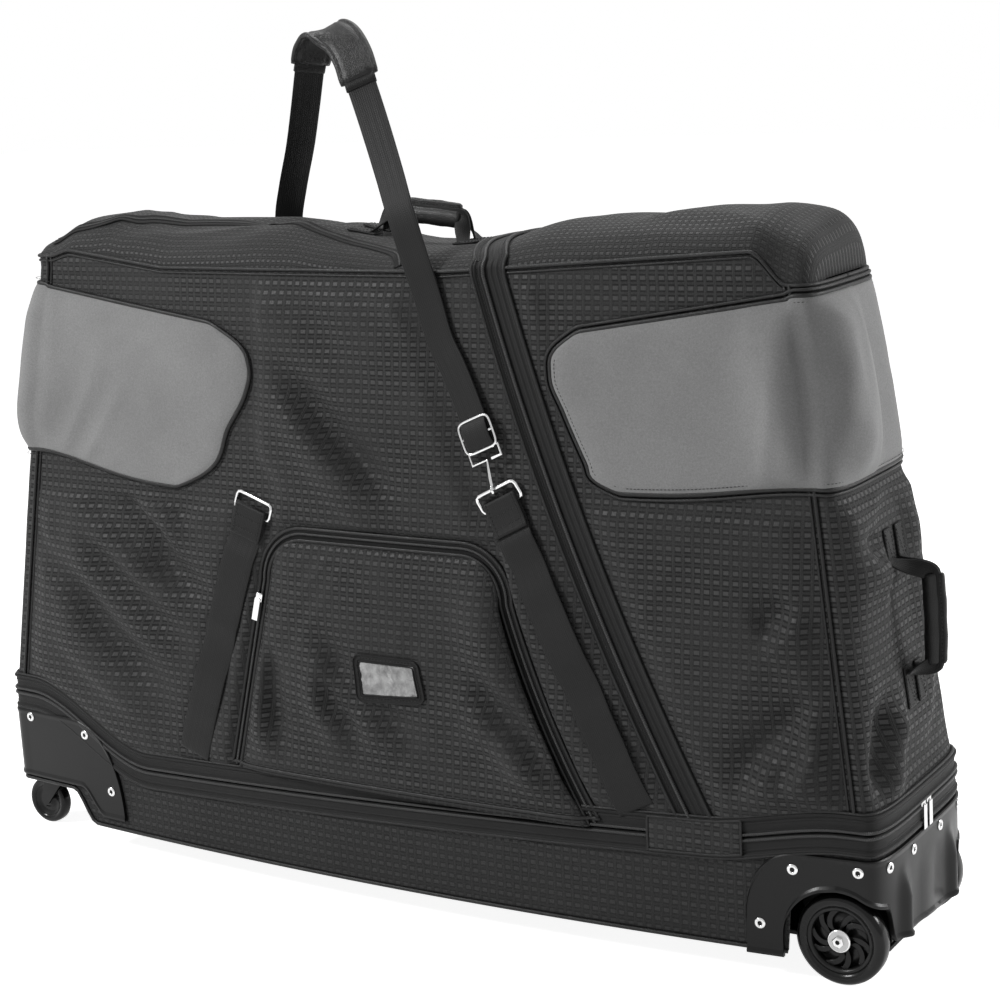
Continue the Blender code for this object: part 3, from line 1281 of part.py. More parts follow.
def sliders(base, cover):
    middle = end_spot(0, 0, 1).x + RUN_GAP
    for word, side in (("near", -1), ("far", 1)):
        centre = Vector((middle, side * BASE_SLIDER_Y, zip_z(HALF_LENGTH)))
        slider(f"base_zip_{word}", centre, Vector((0, 1, 0)), Vector((1, 0, 0)), Vector((0, 0, -1)), base)
    spots = []
    for z in (POCKET_TOP_Z - POCKET_SLIDER_DROP, POCKET_FOOT_Z + POCKET_SLIDER_DROP / 2):
        x = pocket_edge(z, False) + POCKET_ZIP_WIDTH / 2
        spots.append(raised(x, z, -1, GAP + POCKET_ZIP_THICKNESS + RUN_GAP))
    along = (spots[0] - spots[1]).normalized()
    _, out = side_frame(spots[0].x, spots[0].z, -1)
    out = (out - along * out.dot(along)).normalized()
    slider("pocket_zip", spots[0], along, out, -along, cover)


# Bicycle frame inside

def inside_gear(base):
    floor = BASE_UNDERSIDE_Z + BOARD_THICKNESS + GAP
    half_w, top = RAIL_WIDTH / 2, floor + RAIL_HEIGHT
    profile = [(-half_w, floor), (half_w, floor), (half_w, top), (-half_w, top)]
    wall = RAIL_WALL
    bore = [(-half_w + wall, floor + wall), (half_w - wall, floor + wall), (half_w - wall, top - wall),
            (-half_w + wall, top - wall)]
    ends = (RAIL_X - RAIL_LENGTH / 2, RAIL_X + RAIL_LENGTH / 2)
    outer = [[Vector((x, y, z)) for y, z in profile] for x in ends]
    inner = [[Vector((x, y, z)) for y, z in bore] for x in ends]
    add("frame_rail", shell_mesh("frame_rail", outer, inner, closed=True), "aluminium", base)

    def upright(name, x, height, width, parent, origin=(0, 0, 0), run=GAP):
        """A saddle on the rail with two ears that hold an axle."""
        foot = top + run
        saddle = block_mesh("saddle", (x, 0, foot + MOUNT_WALL / 2), (MOUNT_LENGTH, width, MOUNT_WALL))
        body = add(name, saddle, "aluminium", parent, origin)
        for way in (-1, 1):
            y = way * (width / 2 - MOUNT_WALL / 2)
            ear = block_mesh("ear", (x, y, foot + height / 2 + MOUNT_WALL / 4),
                             (MOUNT_LENGTH - 2 * EDGE_ROUND, MOUNT_WALL - 2 * EDGE_ROUND, height))
            word = "left" if way < 0 else "right"
            cut(body, add(f"{name}_ear_{word}", ear, "aluminium", parent, origin), "UNION")
            size = (MOUNT_LENGTH - EDGE_ROUND, MOUNT_WALL - EDGE_ROUND, RAIL_HEIGHT / 2 + MOUNT_WALL)
            spot = (x, way * (half_w + run + MOUNT_WALL / 2), foot - RAIL_HEIGHT / 4)
            cheek = block_mesh("cheek", spot, size)
            cut(body, add(f"{name}_cheek_{word}", cheek, "aluminium", parent, origin), "UNION")
        reach = width / 2 - MOUNT_WALL / 2
        pin = disc_mesh("pin", DROPOUT_PIN_RADIUS, -reach, reach, (x, 0, foot + height - DROPOUT_PIN_RADIUS),
                        (0, 1, 0), 12)
        cut(body, add(f"{name}_pin", pin, "aluminium", parent, origin), "UNION")

    upright("fork_mount", FORK_MOUNT_X, FORK_MOUNT_HEIGHT, FORK_MOUNT_WIDTH, base)
    rear = empty("rear_mount_slide", (REAR_MOUNT_X, 0, top), base)
    upright("rear_mount", REAR_MOUNT_X, REAR_MOUNT_HEIGHT, REAR_MOUNT_WIDTH, rear, (REAR_MOUNT_X, 0, top),
            RUN_GAP)

    cradle_z = top + GAP
    steps = 7
    lip = cradle_z + CRADLE_HEIGHT - CRADLE_ROLL_RADIUS / 2
    notch = [(CRADLE_ROLL_RADIUS * math.cos(a), lip - CRADLE_ROLL_RADIUS / 2 * math.sin(a))
             for a in (math.pi * i / (steps - 1) for i in range(steps))]
    side = CRADLE_LENGTH / 2
    shape = [(side, cradle_z), (side, lip)] + notch + [(-side, lip), (-side, cradle_z)]
    half_w = CRADLE_WIDTH / 2
    sections = [[Vector((CRADLE_X + x, y, z)) for x, z in shape] for y in (-half_w, half_w)]
    add("bottom_bracket_cradle", loft_mesh("cradle", sections), "moulding", base)


def build():
    for obj in list(bpy.data.objects):
        bpy.data.objects.remove(obj)
    base = empty("rolling_base")
    cover = empty("cover_lift", (0, 0, BASE_TOP_Z), base)
    base_board(base)
    base_wall("base_front_wall", -1, base)
    base_wall("base_back_wall", 1, base)
    base_zip(base)
    caster_guard(base)
    wheel_guard(base)
    rear_axle(base)
    for word, side in (("near", -1), ("far", 1)):
        rear_wheel(word, side, base)
        caster(word, side, base)
    inside_gear(base)
    cover_panels(cover)
    diagonal_zip(cover)
    bumper("caster_end_bumper", CASTER_BUMPER, CASTER_TIP_SHARES, cover)
    bumper("wheel_end_bumper", WHEEL_BUMPER, WHEEL_TIP_SHARES, cover)
    pocket(cover)
    straps = (("front_left", FRONT_LEFT_STRAP, -1, True), ("front_right", FRONT_RIGHT_STRAP, -1, False),
              ("back_left", BACK_LEFT_STRAP, 1, False), ("back_right", BACK_RIGHT_STRAP, 1, True))
    for word, shape, side, loose in straps:
        lower_strap(word, shape, side, cover)
        ring(word, shape, side, cover, loose)
    shoulder_strap(cover)
    strap_adjuster(cover)
    runs = strap_runs()
    snap_hook("front", runs[0][0], FRONT_RIGHT_STRAP, -1, cover)
    snap_hook("back", runs[2][-1], BACK_LEFT_STRAP, 1, cover)
    handles(cover)
    sliders(base, cover)


build()
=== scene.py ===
"""Looks of a wheeled soft travel bag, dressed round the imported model. Metres, +Z up, front facing -Y."""
import math

import bmesh
import bpy
import numpy as np
from mathutils import Matrix, Vector


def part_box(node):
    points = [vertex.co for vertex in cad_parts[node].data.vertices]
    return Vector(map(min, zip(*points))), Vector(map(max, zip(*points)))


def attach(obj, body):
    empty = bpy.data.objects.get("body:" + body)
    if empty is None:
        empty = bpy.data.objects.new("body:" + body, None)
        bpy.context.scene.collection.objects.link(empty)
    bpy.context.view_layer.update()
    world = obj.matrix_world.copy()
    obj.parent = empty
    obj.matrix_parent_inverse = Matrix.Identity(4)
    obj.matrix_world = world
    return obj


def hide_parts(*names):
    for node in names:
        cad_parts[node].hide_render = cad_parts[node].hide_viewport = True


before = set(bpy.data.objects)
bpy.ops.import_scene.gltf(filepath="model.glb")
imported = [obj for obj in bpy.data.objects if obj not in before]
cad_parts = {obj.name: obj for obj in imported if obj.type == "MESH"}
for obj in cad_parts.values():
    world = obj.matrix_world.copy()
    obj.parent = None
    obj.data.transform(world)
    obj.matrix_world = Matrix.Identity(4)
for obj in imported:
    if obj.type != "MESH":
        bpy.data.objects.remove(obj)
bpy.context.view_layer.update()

# Camera and light
CAMERA_SPOT = (1.5618, -2.3090, 1.1078)
CAMERA_YAW = 0.56427
CAMERA_PITCH = 0.21520
CAMERA_ROLL = -0.05766
FOCAL_PIXELS = 2208.09
PICTURE_WIDTH = 1000
SENSOR_WIDTH = 36.0
FLOOR_SIZE = 30.0
FLOOR_DROP = 0.0003
ROOM_GLOW = 0.15
FLOOR_GLOW = 0.90
MIRRORED_WHITE = 0.6
WHITE = (1, 1, 1, 1)
# Lights, as name, place, aim, size and power
LIGHTS = (("key", (-2.5, -2.6, 3.0), (0, 0, 0.45), (0.8, 0.8), 122),
          ("fill", (2.9, 1.7, 1.6), (0.3, 0, 0.5), (0.9, 1.1), 56),
          ("top", (-0.2, 0.8, 3.2), (0, 0, 0.6), (2.0, 1.2), 48))

# Base, the same sizes as the model's
GAP = 0.0003
BASE_LENGTH = 1.320
HALF_LENGTH = BASE_LENGTH / 2
BASE_WIDTH = 0.330
BASE_END_WIDTH = 0.256
BASE_UNDERSIDE_Z = 0.036
STEP_UNDERSIDE_Z = 0.082
STEP_START_X = 0.545
STEP_END_X = 0.505
BASE_TOP_Z = 0.147
CORNER_DEPTH = 0.028
CORNER_SHARE = 4.0
ZIP_TILT = 0.025
ZIP_CASTER_RISE = 0.088
ZIP_WHEEL_RISE = 0.018
ZIP_CASTER_RISE_X = 0.390
ZIP_WHEEL_RISE_X = 0.450
ZIP_RISE_END_X = 0.610
ZIP_TAPE_HEIGHT = 0.012
CUT_GAP = ZIP_TAPE_HEIGHT / 2 + GAP
BASE_CLOTH_DROP = 0.004
RIPPLE_HEIGHT = 0.0010

# Cover
COVER_FOOT_LENGTH = 1.318
COVER_TOP_LENGTH = 1.150
COVER_TOP_WIDTH = 0.210
COVER_TOP_END_WIDTH = 0.170
COVER_THICKNESS = 0.006
CLOTH_THICKNESS = 0.003
SEAM_Z = 0.810
SEAM_CASTER_RISE = 0.026
SEAM_WHEEL_RISE = 0.028
SEAM_RISE_CASTER_X = 0.340
SEAM_RISE_WHEEL_X = 0.100
SEAM_END_DROP = 0.040
SEAM_DROP_X = 0.500
CROWN_HEIGHT = 0.047
CROWN_SAG = 0.028
CROWN_SAG_X = 0.050
CROWN_SAG_REACH = 0.130
CROWN_CASTER_X = 0.380
CROWN_WHEEL_X = 0.480
CROWN_EDGE_SHARE = 2.4
CROWN_FALL_SHARE = 0.6
CROWN_DIP = 0.007
CROWN_BAND_DIP_X = 0.17
CROWN_CASTER_DIP_X = -0.525
CROWN_HOOD_DROP = 0.008
CROWN_SHOULDER_X = 0.525
SEAM_LIFT = 0.003
BAND_TOP_X = 0.168
BAND_FOOT_X = 0.445
BAND_RIDGE_X = 0.140
BAND_WIDTH = 0.038
BAND_BOW_SHARE = 0.73
BAND_TURN_SHARE = 0.93
BAND_OVERLAP = 0.004

# Grey patches
BUMPER_GAP = 0.0011
BUMPER_THICKNESS = 0.007
CASTER_BUMPER = {"end": -1, "tip_x": 0.193, "tip_depth": 0.128, "top_tip_z": 0.735, "top_end_z": 0.788,
                 "foot_tip_z": 0.526, "foot_end_z": 0.560, "puff_place": 0.62}
WHEEL_BUMPER = {"end": 1, "tip_x": 0.252, "tip_depth": 0.090, "top_tip_z": 0.740, "top_end_z": 0.790,
                "foot_tip_z": 0.560, "foot_end_z": 0.577, "puff_place": 0.80}
CASTER_TIP = ((0, 1), (0.08, 0.68), (0.40, 0.28), (0.62, 0.05), (0.78, 0), (0.92, 0.16), (1, 0.50))
BUMPER_PUFF = 0.017
BUMPER_LIFT = 0.0022
PATCH_FOOT_MARGIN = 0.034
PATCH_FOOT_BLEND = 0.024
PATCH_TOP_MARGIN = 0.030
PATCH_TOP_BLEND = 0.022
BACK_PUFF_SHARE = 0.3
LONG_CREASE_HEIGHT = 0.0040
SHORT_CREASE_HEIGHT = 0.0026
WHEEL_RIDGE_HEIGHT = 0.014
WHEEL_SHOULDER_HEIGHT = 0.010
WHEEL_FOOT_HEIGHT = 0.004
WHEEL_TIP = ((0, 1), (0.07, 0.64), (0.17, 0.53), (0.50, 0.20), (0.75, 0), (0.92, 0.10), (1, 0.40))

# Pocket
POCKET_FOOT_Z = 0.168
POCKET_TOP_Z = 0.488
POCKET_LEFT_FOOT_X = -0.237
POCKET_LEFT_TOP_X = -0.167
POCKET_RIGHT_TOP_X = 0.178
POCKET_RIGHT_FOOT_X = 0.315
POCKET_CORNER = 0.070
POCKET_FLARE_SHARE = 0.45
POCKET_RIM = 0.0150
POCKET_LIFT = 0.0022
POCKET_PIPING = 0.0026
CARD_X = 0.014
CARD_Z = 0.304
CARD_CORNERS = ((-0.030, 0.340), (0.0696, 0.340), (0.0807, 0.285), (-0.025, 0.276))

# Webbing, strap and handles
WEBBING_WIDTH = 0.050
WEBBING_THICKNESS = 0.0025
STITCHED_SHARE = 0.40
LOOP_LENGTH = 0.045
WEBBING_LIFT = 0.0022
RING_HEIGHT = 0.022
RING_SPOTS = {"front_left": ((-0.191, 0.511), (-0.305, 0.166)), "front_right": ((0.183, 0.547), (0.367, 0.182)),
              "back_left": ((-0.290, 0.480), (-0.385, 0.156)), "back_right": ((0.183, 0.547), (0.367, 0.182))}
STRAP_WIDTH = 0.038
STRAP_THICKNESS = 0.0025
# Places of the strap: x, share of the bag's half width, height
STRAP_ROUTE = ((0.164, -1.0796, 0.607), (0.1425, -1.0675, 0.656), (0.121, -1.055, 0.6995),
               (0.102, -1.0505, 0.7335), (0.086, -1.0596, 0.782), (0.069, -1.0696, 0.832), (0.05, -1.0301, 0.886),
               (0.0254, -0.8384, 0.926), (-0.001, -0.6286, 0.964), (-0.027, -0.4383, 1.003), (-0.051, -0.2861, 1.042),
               (-0.069, -0.1624, 1.07), (-0.092, -0.067, 1.0925), (-0.12, 0, 1.0995), (-0.143, 0.0771, 1.085),
               (-0.16, 0.174, 1.0615), (-0.194, 0.4478, 1.006), (-0.228, 0.7265, 0.954), (-0.266, 1.0127, 0.9),
               (-0.294, 1.2328, 0.85), (-0.3, 1.2934, 0.79), (-0.3, 1.2744, 0.7), (-0.297, 1.2728, 0.6),
               (-0.294, 1.2628, 0.545))
FRONT_STRAP_LINE = ((0.09, 0.80), (0.18, 0.55))
BACK_STRAP_LINE = ((-0.30, 0.80), (-0.294, 0.50))
STRAP_SIDES = ((0.92, 0.02, 0.38), (0.86, 0.40, 0.30), (0.86, 0.42, 0.28), (0.98, 0.10, -0.12))
PAD_START = 10
PAD_END = 15
PAD_WIDTH = 0.052
PAD_THICKNESS = 0.011
PAD_SEAM_SHARE = 0.74
HANDLE_WEB_WIDTH = 0.020
HANDLE_WEB_THICKNESS = 0.003
GRIP_HALF_THICKNESS = 0.0072
TOP_HANDLE = {"x": 0.012, "span": 0.140, "grip": 0.100, "rise": 0.029, "shift": 0.003, "lane": 0.018,
              "tall": 0.032, "tilt": 0}
END_HANDLE = {"z": 0.405, "span": 0.138, "grip": 0.106, "rise": 0.036, "shift": -0.006, "lane": 0.0165,
              "tall": 0.028, "tilt": 0.006}
END_HANDLE_Y = 0.020
GRIP_CROWN_SHARE = 1.04
TAB_INSIDE = 0.012
TAB_STITCHED_SHARE = 0.42

# Guards, wheels and casters
GUARD_THICKNESS = 0.004
CASTER_GUARD_REACH = 0.445
CASTER_GUARD_TOP_Z = 0.186
CASTER_GUARD_FOOT_Z = 0.088
CASTER_GUARD_TOE_Z = 0.050
CASTER_LOBE_START_X = 0.545
CASTER_GUARD_CURVE = 2.6
CASTER_GUARD_HOLLOW = (0.38, 0.80)
CASTER_GUARD_RIVETS = ((-0.620, 0.176), (-0.510, 0.166), (-0.467, 0.090))
WHEEL_GUARD_REACH = 0.498
WHEEL_GUARD_TOP_Z = 0.158
WHEEL_GUARD_FOOT_Z = 0.030
WHEEL_GUARD_END_FOOT_Z = 0.050
WHEEL_LOBE_START_X = 0.565
WHEEL_GUARD_SHOULDER_Z = 0.110
WHEEL_GUARD_CURVE = 2.4
WHEEL_GUARD_RIVETS = ((0.556, 0.139), (0.633, 0.144), (0.515, 0.068))
WHEEL_END_RIVETS = (-0.105, -0.042, 0.042, 0.112)
WHEEL_END_RIVET_Z = 0.144
CASTER_END_RIVETS = (-0.55, 0.55)
CASTER_END_RIVET_Z = 0.165
CASTER_GUARD_RIM = 0.0016
WHEEL_GUARD_RIM = 0.0022
RIVET_LIFT = GAP + GUARD_THICKNESS + 0.0001
WELL_WALL_Y = 0.099
WELL_START_X = 0.548
WHEEL_RADIUS = 0.055
WHEEL_WIDTH = 0.024
WHEEL_X = 0.606
WHEEL_FACE_Y = 0.131
TYRE_DEPTH = 0.0145
ARCH_GAP = 0.008
HUB_SPOKES = 5
BOLT_DEPTH = 0.002
CASTER_X = 0.621
CASTER_Y = 0.089
CASTER_TRAIL = 0.024
CASTER_WHEEL_RADIUS = 0.0335
CASTER_WHEEL_WIDTH = 0.018

# Finish
WEAVE_PITCH = 0.0118
PIPING_RADIUS = 0.0024
STITCH_LENGTH = 0.0030
STITCH_PITCH = 0.0048
STITCH_RADIUS = 0.00045
LOOSE_EDGE = 0.045
ROUND_SHARE = 0.6
CORD_SIDES = 8
CLOTH_STAND = 0.0080
SLANT_HEIGHT = 0.0052
WAVE_HEIGHT = 0.0040
PULL_HEIGHT = 0.0024
WRINKLE_SOFTNESS = 0.04
FOLD_SCALE = 3.3
FOLD_RIDGE = 0.7
FOLD_VALLEY = 0.9
FOLD_VALLEY_PLACE = 1.40
FOLD_SPREAD = 1.5
FOLD_TAPER = 0.35
FOLD_REACH = 7
TOP_FOLD_SHARE = 0.4

WELD_DISTANCE = 0.00002
ZIP_BELT_WIDTH = 0.024
BRIDGE_X = (0.378, 0.495)
BRIDGE_REACH = (-0.020, 0.021)
PIPING_PLACE = 0.0225
BAND_STITCH_PLACE = 0.0155
WIRE_RADIUS = 0.0017
WIRE_BAR_RADIUS = 0.0015
WIRE_LIFT = 0.0030

# Wrinkles, as angle, length and spacing
LEFT_SLANT = (-0.65, 0.20, 0.042)
RIGHT_SLANT = (0.85, 0.18, 0.040)
WALL_WAVE = (0.15, 0.30, 0.07)
EDGE_PULL = (1.45, 0.10, 0.022)
END_CREASE = (-0.5, 0.12, 0.035)
TOP_SLANT = (0.5, 0.18, 0.050)
TOP_CROSS_SLANT = (-0.8, 0.12, 0.05)
PATCH_CREASE = (-0.5, 0.12, 0.04)
POCKET_SLANT = (-0.7, 0.14, 0.035)
POCKET_CROSS_SLANT = (0.9, 0.10, 0.03)
BRIDGE_RIPPLE = (1.2, 0.05, 0.02)
BASE_RIPPLE = (1.35, 0.10, 0.05)
SLEEVE_CRINKLE = (0.4, 0.03, 0.009)
SLEEVE_CROSS_CRINKLE = (-0.9, 0.02, 0.006)

# Ridges along zips and bound edges, as place across, half width and height
ZIP_BELT_RIDGES = ((0.0095, 0.0022, 0.0026), (0.0040, 0.0012, 0.0006), (-0.0085, 0.0024, 0.0022))
DIAGONAL_RIDGES = ((-0.0190, 0.0026, 0.0022), (-0.0120, 0.0016, 0.0010), (-0.0040, 0.0018, 0.0012),
                   (0.0120, 0.0014, 0.0008), (0.0190, 0.0026, 0.0022))
TOP_ZIP_RIDGES = ((-0.0066, 0.0010, 0.0006), (0.0066, 0.0010, 0.0006))
POCKET_ZIP_RIDGES = ((-0.0070, 0.0014, 0.0010), (0.0070, 0.0014, 0.0010))
CARD_RIDGES = ((-0.0046, 0.0009, 0.0018), (-0.0015, 0.0007, 0.0009), (0.0046, 0.0009, 0.0018))

# Turned profiles, as radius and place along the axis
RIVET_PROFILE = ((0.0024, 0.0004), (0.0030, 0.0016), (0.0052, 0.0020), (0.0066, 0.0010), (0.0070, 0.0))
# The socket profiles are near-black hexagon plates, painted shade that stands for the shaded inside of hexagon sockets.
RIVET_SOCKET_SHADE_PROFILE = ((0.0001, 0.0002), (0.0001, 0.0007), (0.0026, 0.0007), (0.0026, 0.0002))
WASHER_PROFILE = ((0.0045, 0.0006), (0.0045, 0.0026), (0.0128, 0.0026), (0.0141, 0.0018), (0.0141, 0.0006))
NUT_PROFILE = ((0.0030, 0.0024), (0.0030, 0.0060), (0.0062, 0.0066), (0.0072, 0.0058), (0.0072, 0.0024))
BOLT_SOCKET_SHADE_PROFILE = ((0.0001, 0.0030), (0.0001, 0.0042), (0.0033, 0.0042), (0.0033, 0.0030))

# Model nodes that stay, after their finish and the width and least angle of their rounded edges
KEPT_NODES = (
    ("chrome", 0.0005, 25, "ring_front_left ring_front_right ring_back_left ring_back_right snap_hook_front "
                           "snap_hook_back"),
    ("chrome", 0.0004, 25, "base_zip_near_slider base_zip_near_pull base_zip_far_slider base_zip_far_pull "
                           "pocket_zip_slider pocket_zip_pull"),
    ("steel", 0.0003, 25, "caster_plate_near caster_plate_far rear_axle"),
    ("hub", 0.0004, 25, "caster_fork_near caster_fork_far"),
    ("board", 0.0008, 40, "base_board"),
    ("aluminium", 0.0006, 40, "frame_rail"),
    ("aluminium", 0.0004, 40, "fork_mount rear_mount"),
    ("moulding", 0.0008, 40, "bottom_bracket_cradle"),
)

# Folds, as places with a height and a width: (x, z) on the walls, (y, z) on the ends, (x, y) on the top
FRONT_FOLDS = (
    (((-0.546, 0.502), (-0.489, 0.468), (-0.433, 0.432), (-0.379, 0.396), (-0.317, 0.362), (-0.266, 0.338)),
     0.0075, 0.017),
    (((-0.477, 0.507), (-0.431, 0.480), (-0.386, 0.443), (-0.351, 0.405)), 0.0050, 0.012),
    (((-0.536, 0.464), (-0.492, 0.412), (-0.428, 0.363), (-0.356, 0.317), (-0.303, 0.289)), 0.0060, 0.015),
    (((-0.410, 0.515), (-0.356, 0.492), (-0.296, 0.457)), 0.0045, 0.012),
    (((-0.572, 0.404), (-0.526, 0.339), (-0.461, 0.276), (-0.388, 0.230), (-0.343, 0.202)), 0.0060, 0.018),
    (((-0.185, 0.692), (-0.153, 0.655), (-0.114, 0.619), (-0.061, 0.571), (-0.001, 0.525), (0.044, 0.497)),
     0.0065, 0.014),
    (((0.615, 0.340), (0.580, 0.297), (0.539, 0.252), (0.497, 0.200))[::-1], 0.0060, 0.014),
    (((0.607, 0.288), (0.580, 0.257), (0.551, 0.218))[::-1], 0.0050, 0.012),
    (((0.579, 0.440), (0.550, 0.404), (0.521, 0.384))[::-1], 0.0040, 0.013),
    (((0.261, 0.428), (0.314, 0.366), (0.353, 0.310)), 0.0040, 0.011),
    (((0.339, 0.261), (0.378, 0.223), (0.403, 0.196)), 0.0035, 0.010),
)
POCKET_FOLDS = (
    (((-0.122, 0.353), (-0.083, 0.314), (-0.037, 0.274), (0.023, 0.236), (0.068, 0.216)), 0.0055, 0.012),
    (((-0.187, 0.353), (-0.187, 0.283), (-0.176, 0.218), (-0.144, 0.175)), 0.0045, 0.011),
    (((-0.104, 0.318), (-0.077, 0.256), (-0.023, 0.205)), 0.0050, 0.011),
    (((0.114, 0.316), (0.163, 0.272), (0.218, 0.228), (0.259, 0.184)), 0.0055, 0.013),
)
BACK_FOLDS = (
    (((-0.560, 0.300), (-0.470, 0.345), (-0.360, 0.420)), 0.0060, 0.016),
    (((-0.210, 0.640), (-0.080, 0.560), (0.060, 0.520)), 0.0060, 0.017),
    (((-0.150, 0.230), (0.020, 0.300), (0.170, 0.420)), 0.0060, 0.018),
    (((0.500, 0.210), (0.560, 0.330), (0.600, 0.420)), 0.0050, 0.014),
    (((-0.180, 0.330), (-0.060, 0.410), (0.080, 0.450)), 0.0050, 0.015),
)
END_FOLDS = (
    (((-0.10, 0.20), (-0.06, 0.26), (-0.03, 0.34)), 0.006, 0.013),
    (((-0.09, 0.50), (-0.04, 0.47), (0.02, 0.49)), 0.005, 0.013),
)
TOP_FOLDS = (
    (((-0.478, -0.080), (-0.420, -0.030), (-0.340, 0.000)), 0.0040, 0.016),
    (((-0.230, -0.070), (-0.160, -0.040), (-0.080, -0.020)), 0.0045, 0.015),
    (((-0.100, 0.030), (-0.030, 0.010), (0.050, 0.040)), 0.0040, 0.018),
    (((0.200, -0.060), (0.290, 0.000), (0.380, 0.050)), 0.0050, 0.022),
    (((0.330, -0.070), (0.400, -0.020), (0.480, 0.020)), 0.0045, 0.020),
)
TOP_ZIP = ((-0.545, -0.80), (-0.51, -0.775), (-0.46, -0.68), (-0.425, -0.54), (-0.325, -0.32), (-0.24, -0.24),
           (-0.18, -0.32), (-0.135, -0.43), (-0.075, -0.54), (0.0, -0.69), (0.025, -0.79), (0.04, -0.955))


# Plain maths, on arrays

def lerp(a, b, t):
    return a + (b - a) * t


def smooth(t):
    t = np.clip(t, 0.0, 1.0)
    return t * t * (3 - 2 * t)


def unit(vectors):
    return vectors / np.maximum(np.linalg.norm(vectors, axis=-1, keepdims=True), 1e-9)


def bell(distance, width):
    return np.exp(-(distance / width) ** 2)


def eased(count):
    """Shares from -1 to 1, closest together at both ends."""
    return np.sin(np.linspace(-1, 1, count) * math.pi / 2)


def bowed(share, power):
    """Raises the size of a share to a power and keeps its sign."""
    return np.sign(share) * np.abs(share) ** power


def round_end(count):
    """Places across a rounded end, from -1 to 1, closest together at its corners."""
    return bowed(eased(count), ROUND_SHARE)


def arrays(a, b):
    return np.broadcast_arrays(np.asarray(a, float), np.asarray(b, float))


def run_along(path):
    """Distance along a path to each of its points."""
    return np.concatenate([[0], np.cumsum(np.linalg.norm(np.diff(path, axis=0), axis=1))])


def table(points, share):
    """A gentle curve through (share, value) points."""
    xs = np.array([p[0] for p in points], float)
    ys = np.array([p[1] for p in points], float)
    slopes = np.gradient(ys, xs)
    i = np.clip(np.searchsorted(xs, share, side="right") - 1, 0, len(xs) - 2)
    width = xs[i + 1] - xs[i]
    t = (share - xs[i]) / width
    return ((2 * t ** 3 - 3 * t ** 2 + 1) * ys[i] + (t ** 3 - 2 * t ** 2 + t) * width * slopes[i]
            + (3 * t ** 2 - 2 * t ** 3) * ys[i + 1] + (t ** 3 - t ** 2) * width * slopes[i + 1])


def curve_through(points, steps):
    """Points on a smooth curve through a route's own points."""
    route = np.array(points, float)
    last = len(route) - 1
    spots = []
    for i in range(last):
        p0, p1, p2, p3 = route[max(0, i - 1)], route[i], route[i + 1], route[min(last, i + 2)]
        for k in range(steps):
            t = k / steps
            spots.append(0.5 * ((2 * p1) + (p2 - p0) * t + (2 * p0 - 5 * p1 + 4 * p2 - p3) * t * t
                                + (3 * p1 - p0 - 3 * p2 + p3) * t ** 3))
    return np.array(spots + [route[-1]])


LATTICE_SIZE = 64
LATTICE = np.random.default_rng(11).uniform(-1, 1, (LATTICE_SIZE, LATTICE_SIZE))


def noise(u, v):
    """Smooth random heights from -1 to 1."""
    i, j = np.floor(u).astype(int), np.floor(v).astype(int)
    s, t = smooth(u - i), smooth(v - j)
    i0, i1 = i % LATTICE_SIZE, (i + 1) % LATTICE_SIZE
    j0, j1 = j % LATTICE_SIZE, (j + 1) % LATTICE_SIZE
    low = lerp(LATTICE[i0, j0], LATTICE[i1, j0], s)
    return lerp(low, lerp(LATTICE[i0, j1], LATTICE[i1, j1], s), t)


def wrinkles(u, v, angle, long, short, seed):
    """Soft parallel creases that run at an angle, in shares of their height."""
    along = u * math.cos(angle) + v * math.sin(angle) + seed
    across = v * math.cos(angle) - u * math.sin(angle) + seed
    bend = 0.6 * noise(along / long * 0.9 + 7, across / long + 3)
    ridge = 1.1 - 2 * np.sqrt(noise(along / long + bend * 0.3, across / short + bend * 1.5) ** 2 + WRINKLE_SOFTNESS)
    return ridge * (0.5 + 0.5 * noise(along / long * 0.7 + 20, across / long + 31))


def fold(u, v, points, height, width):
    """A soft ridge along a line of places, with a valley on one side of it, that fades out at both ends."""
    nearest = np.full(u.shape, np.inf)
    beside = np.zeros(u.shape)
    along = np.zeros(u.shape)
    run = 0.0
    route = curve_through([(*p, 0) for p in points], 3)[:, :2]
    for (u0, v0), (u1, v1) in zip(route, route[1:]):
        du, dv = u1 - u0, v1 - v0
        length = math.hypot(du, dv)
        t = np.clip(((u - u0) * du + (v - v0) * dv) / length ** 2, 0, 1)
        pu, pv = u - (u0 + t * du), v - (v0 + t * dv)
        distance = np.hypot(pu, pv)
        closer = distance < nearest
        nearest = np.where(closer, distance, nearest)
        beside = np.where(closer, np.sign(du * pv - dv * pu) * distance, beside)
        along = np.where(closer, run + t * length, along)
        run += length
    taper = FOLD_TAPER * run
    fade = smooth(along / taper) * smooth((run - along) / taper)
    fade *= np.where(nearest > FOLD_REACH * width, 0, 1)
    s = -beside / (FOLD_SPREAD * width)
    q = s + FOLD_VALLEY_PLACE
    ridge, valley = bell(s, np.where(s > 0, 1.4, 1.0)), bell(q, np.where(q < 0, 1.2, 0.8))
    return FOLD_SCALE * height * fade * (FOLD_RIDGE * ridge - FOLD_VALLEY * valley)


def with_folds(field, u, v, folds, share=1.0):
    for points, height, width in folds:
        field = field + share * fold(u, v, points, height, width)
    return field


# Outline of the bag, the same as the model's, on arrays

def zip_z(x):
    """Height of the perimeter zip, which climbs towards both ends."""
    x = np.clip(x, -ZIP_RISE_END_X, ZIP_RISE_END_X)
    caster = smooth((-x - ZIP_CASTER_RISE_X) / (ZIP_RISE_END_X - ZIP_CASTER_RISE_X))
    wheel = smooth((x - ZIP_WHEEL_RISE_X) / (ZIP_RISE_END_X - ZIP_WHEEL_RISE_X))
    return BASE_TOP_Z + ZIP_TILT * x / HALF_LENGTH + ZIP_CASTER_RISE * caster + ZIP_WHEEL_RISE * wheel


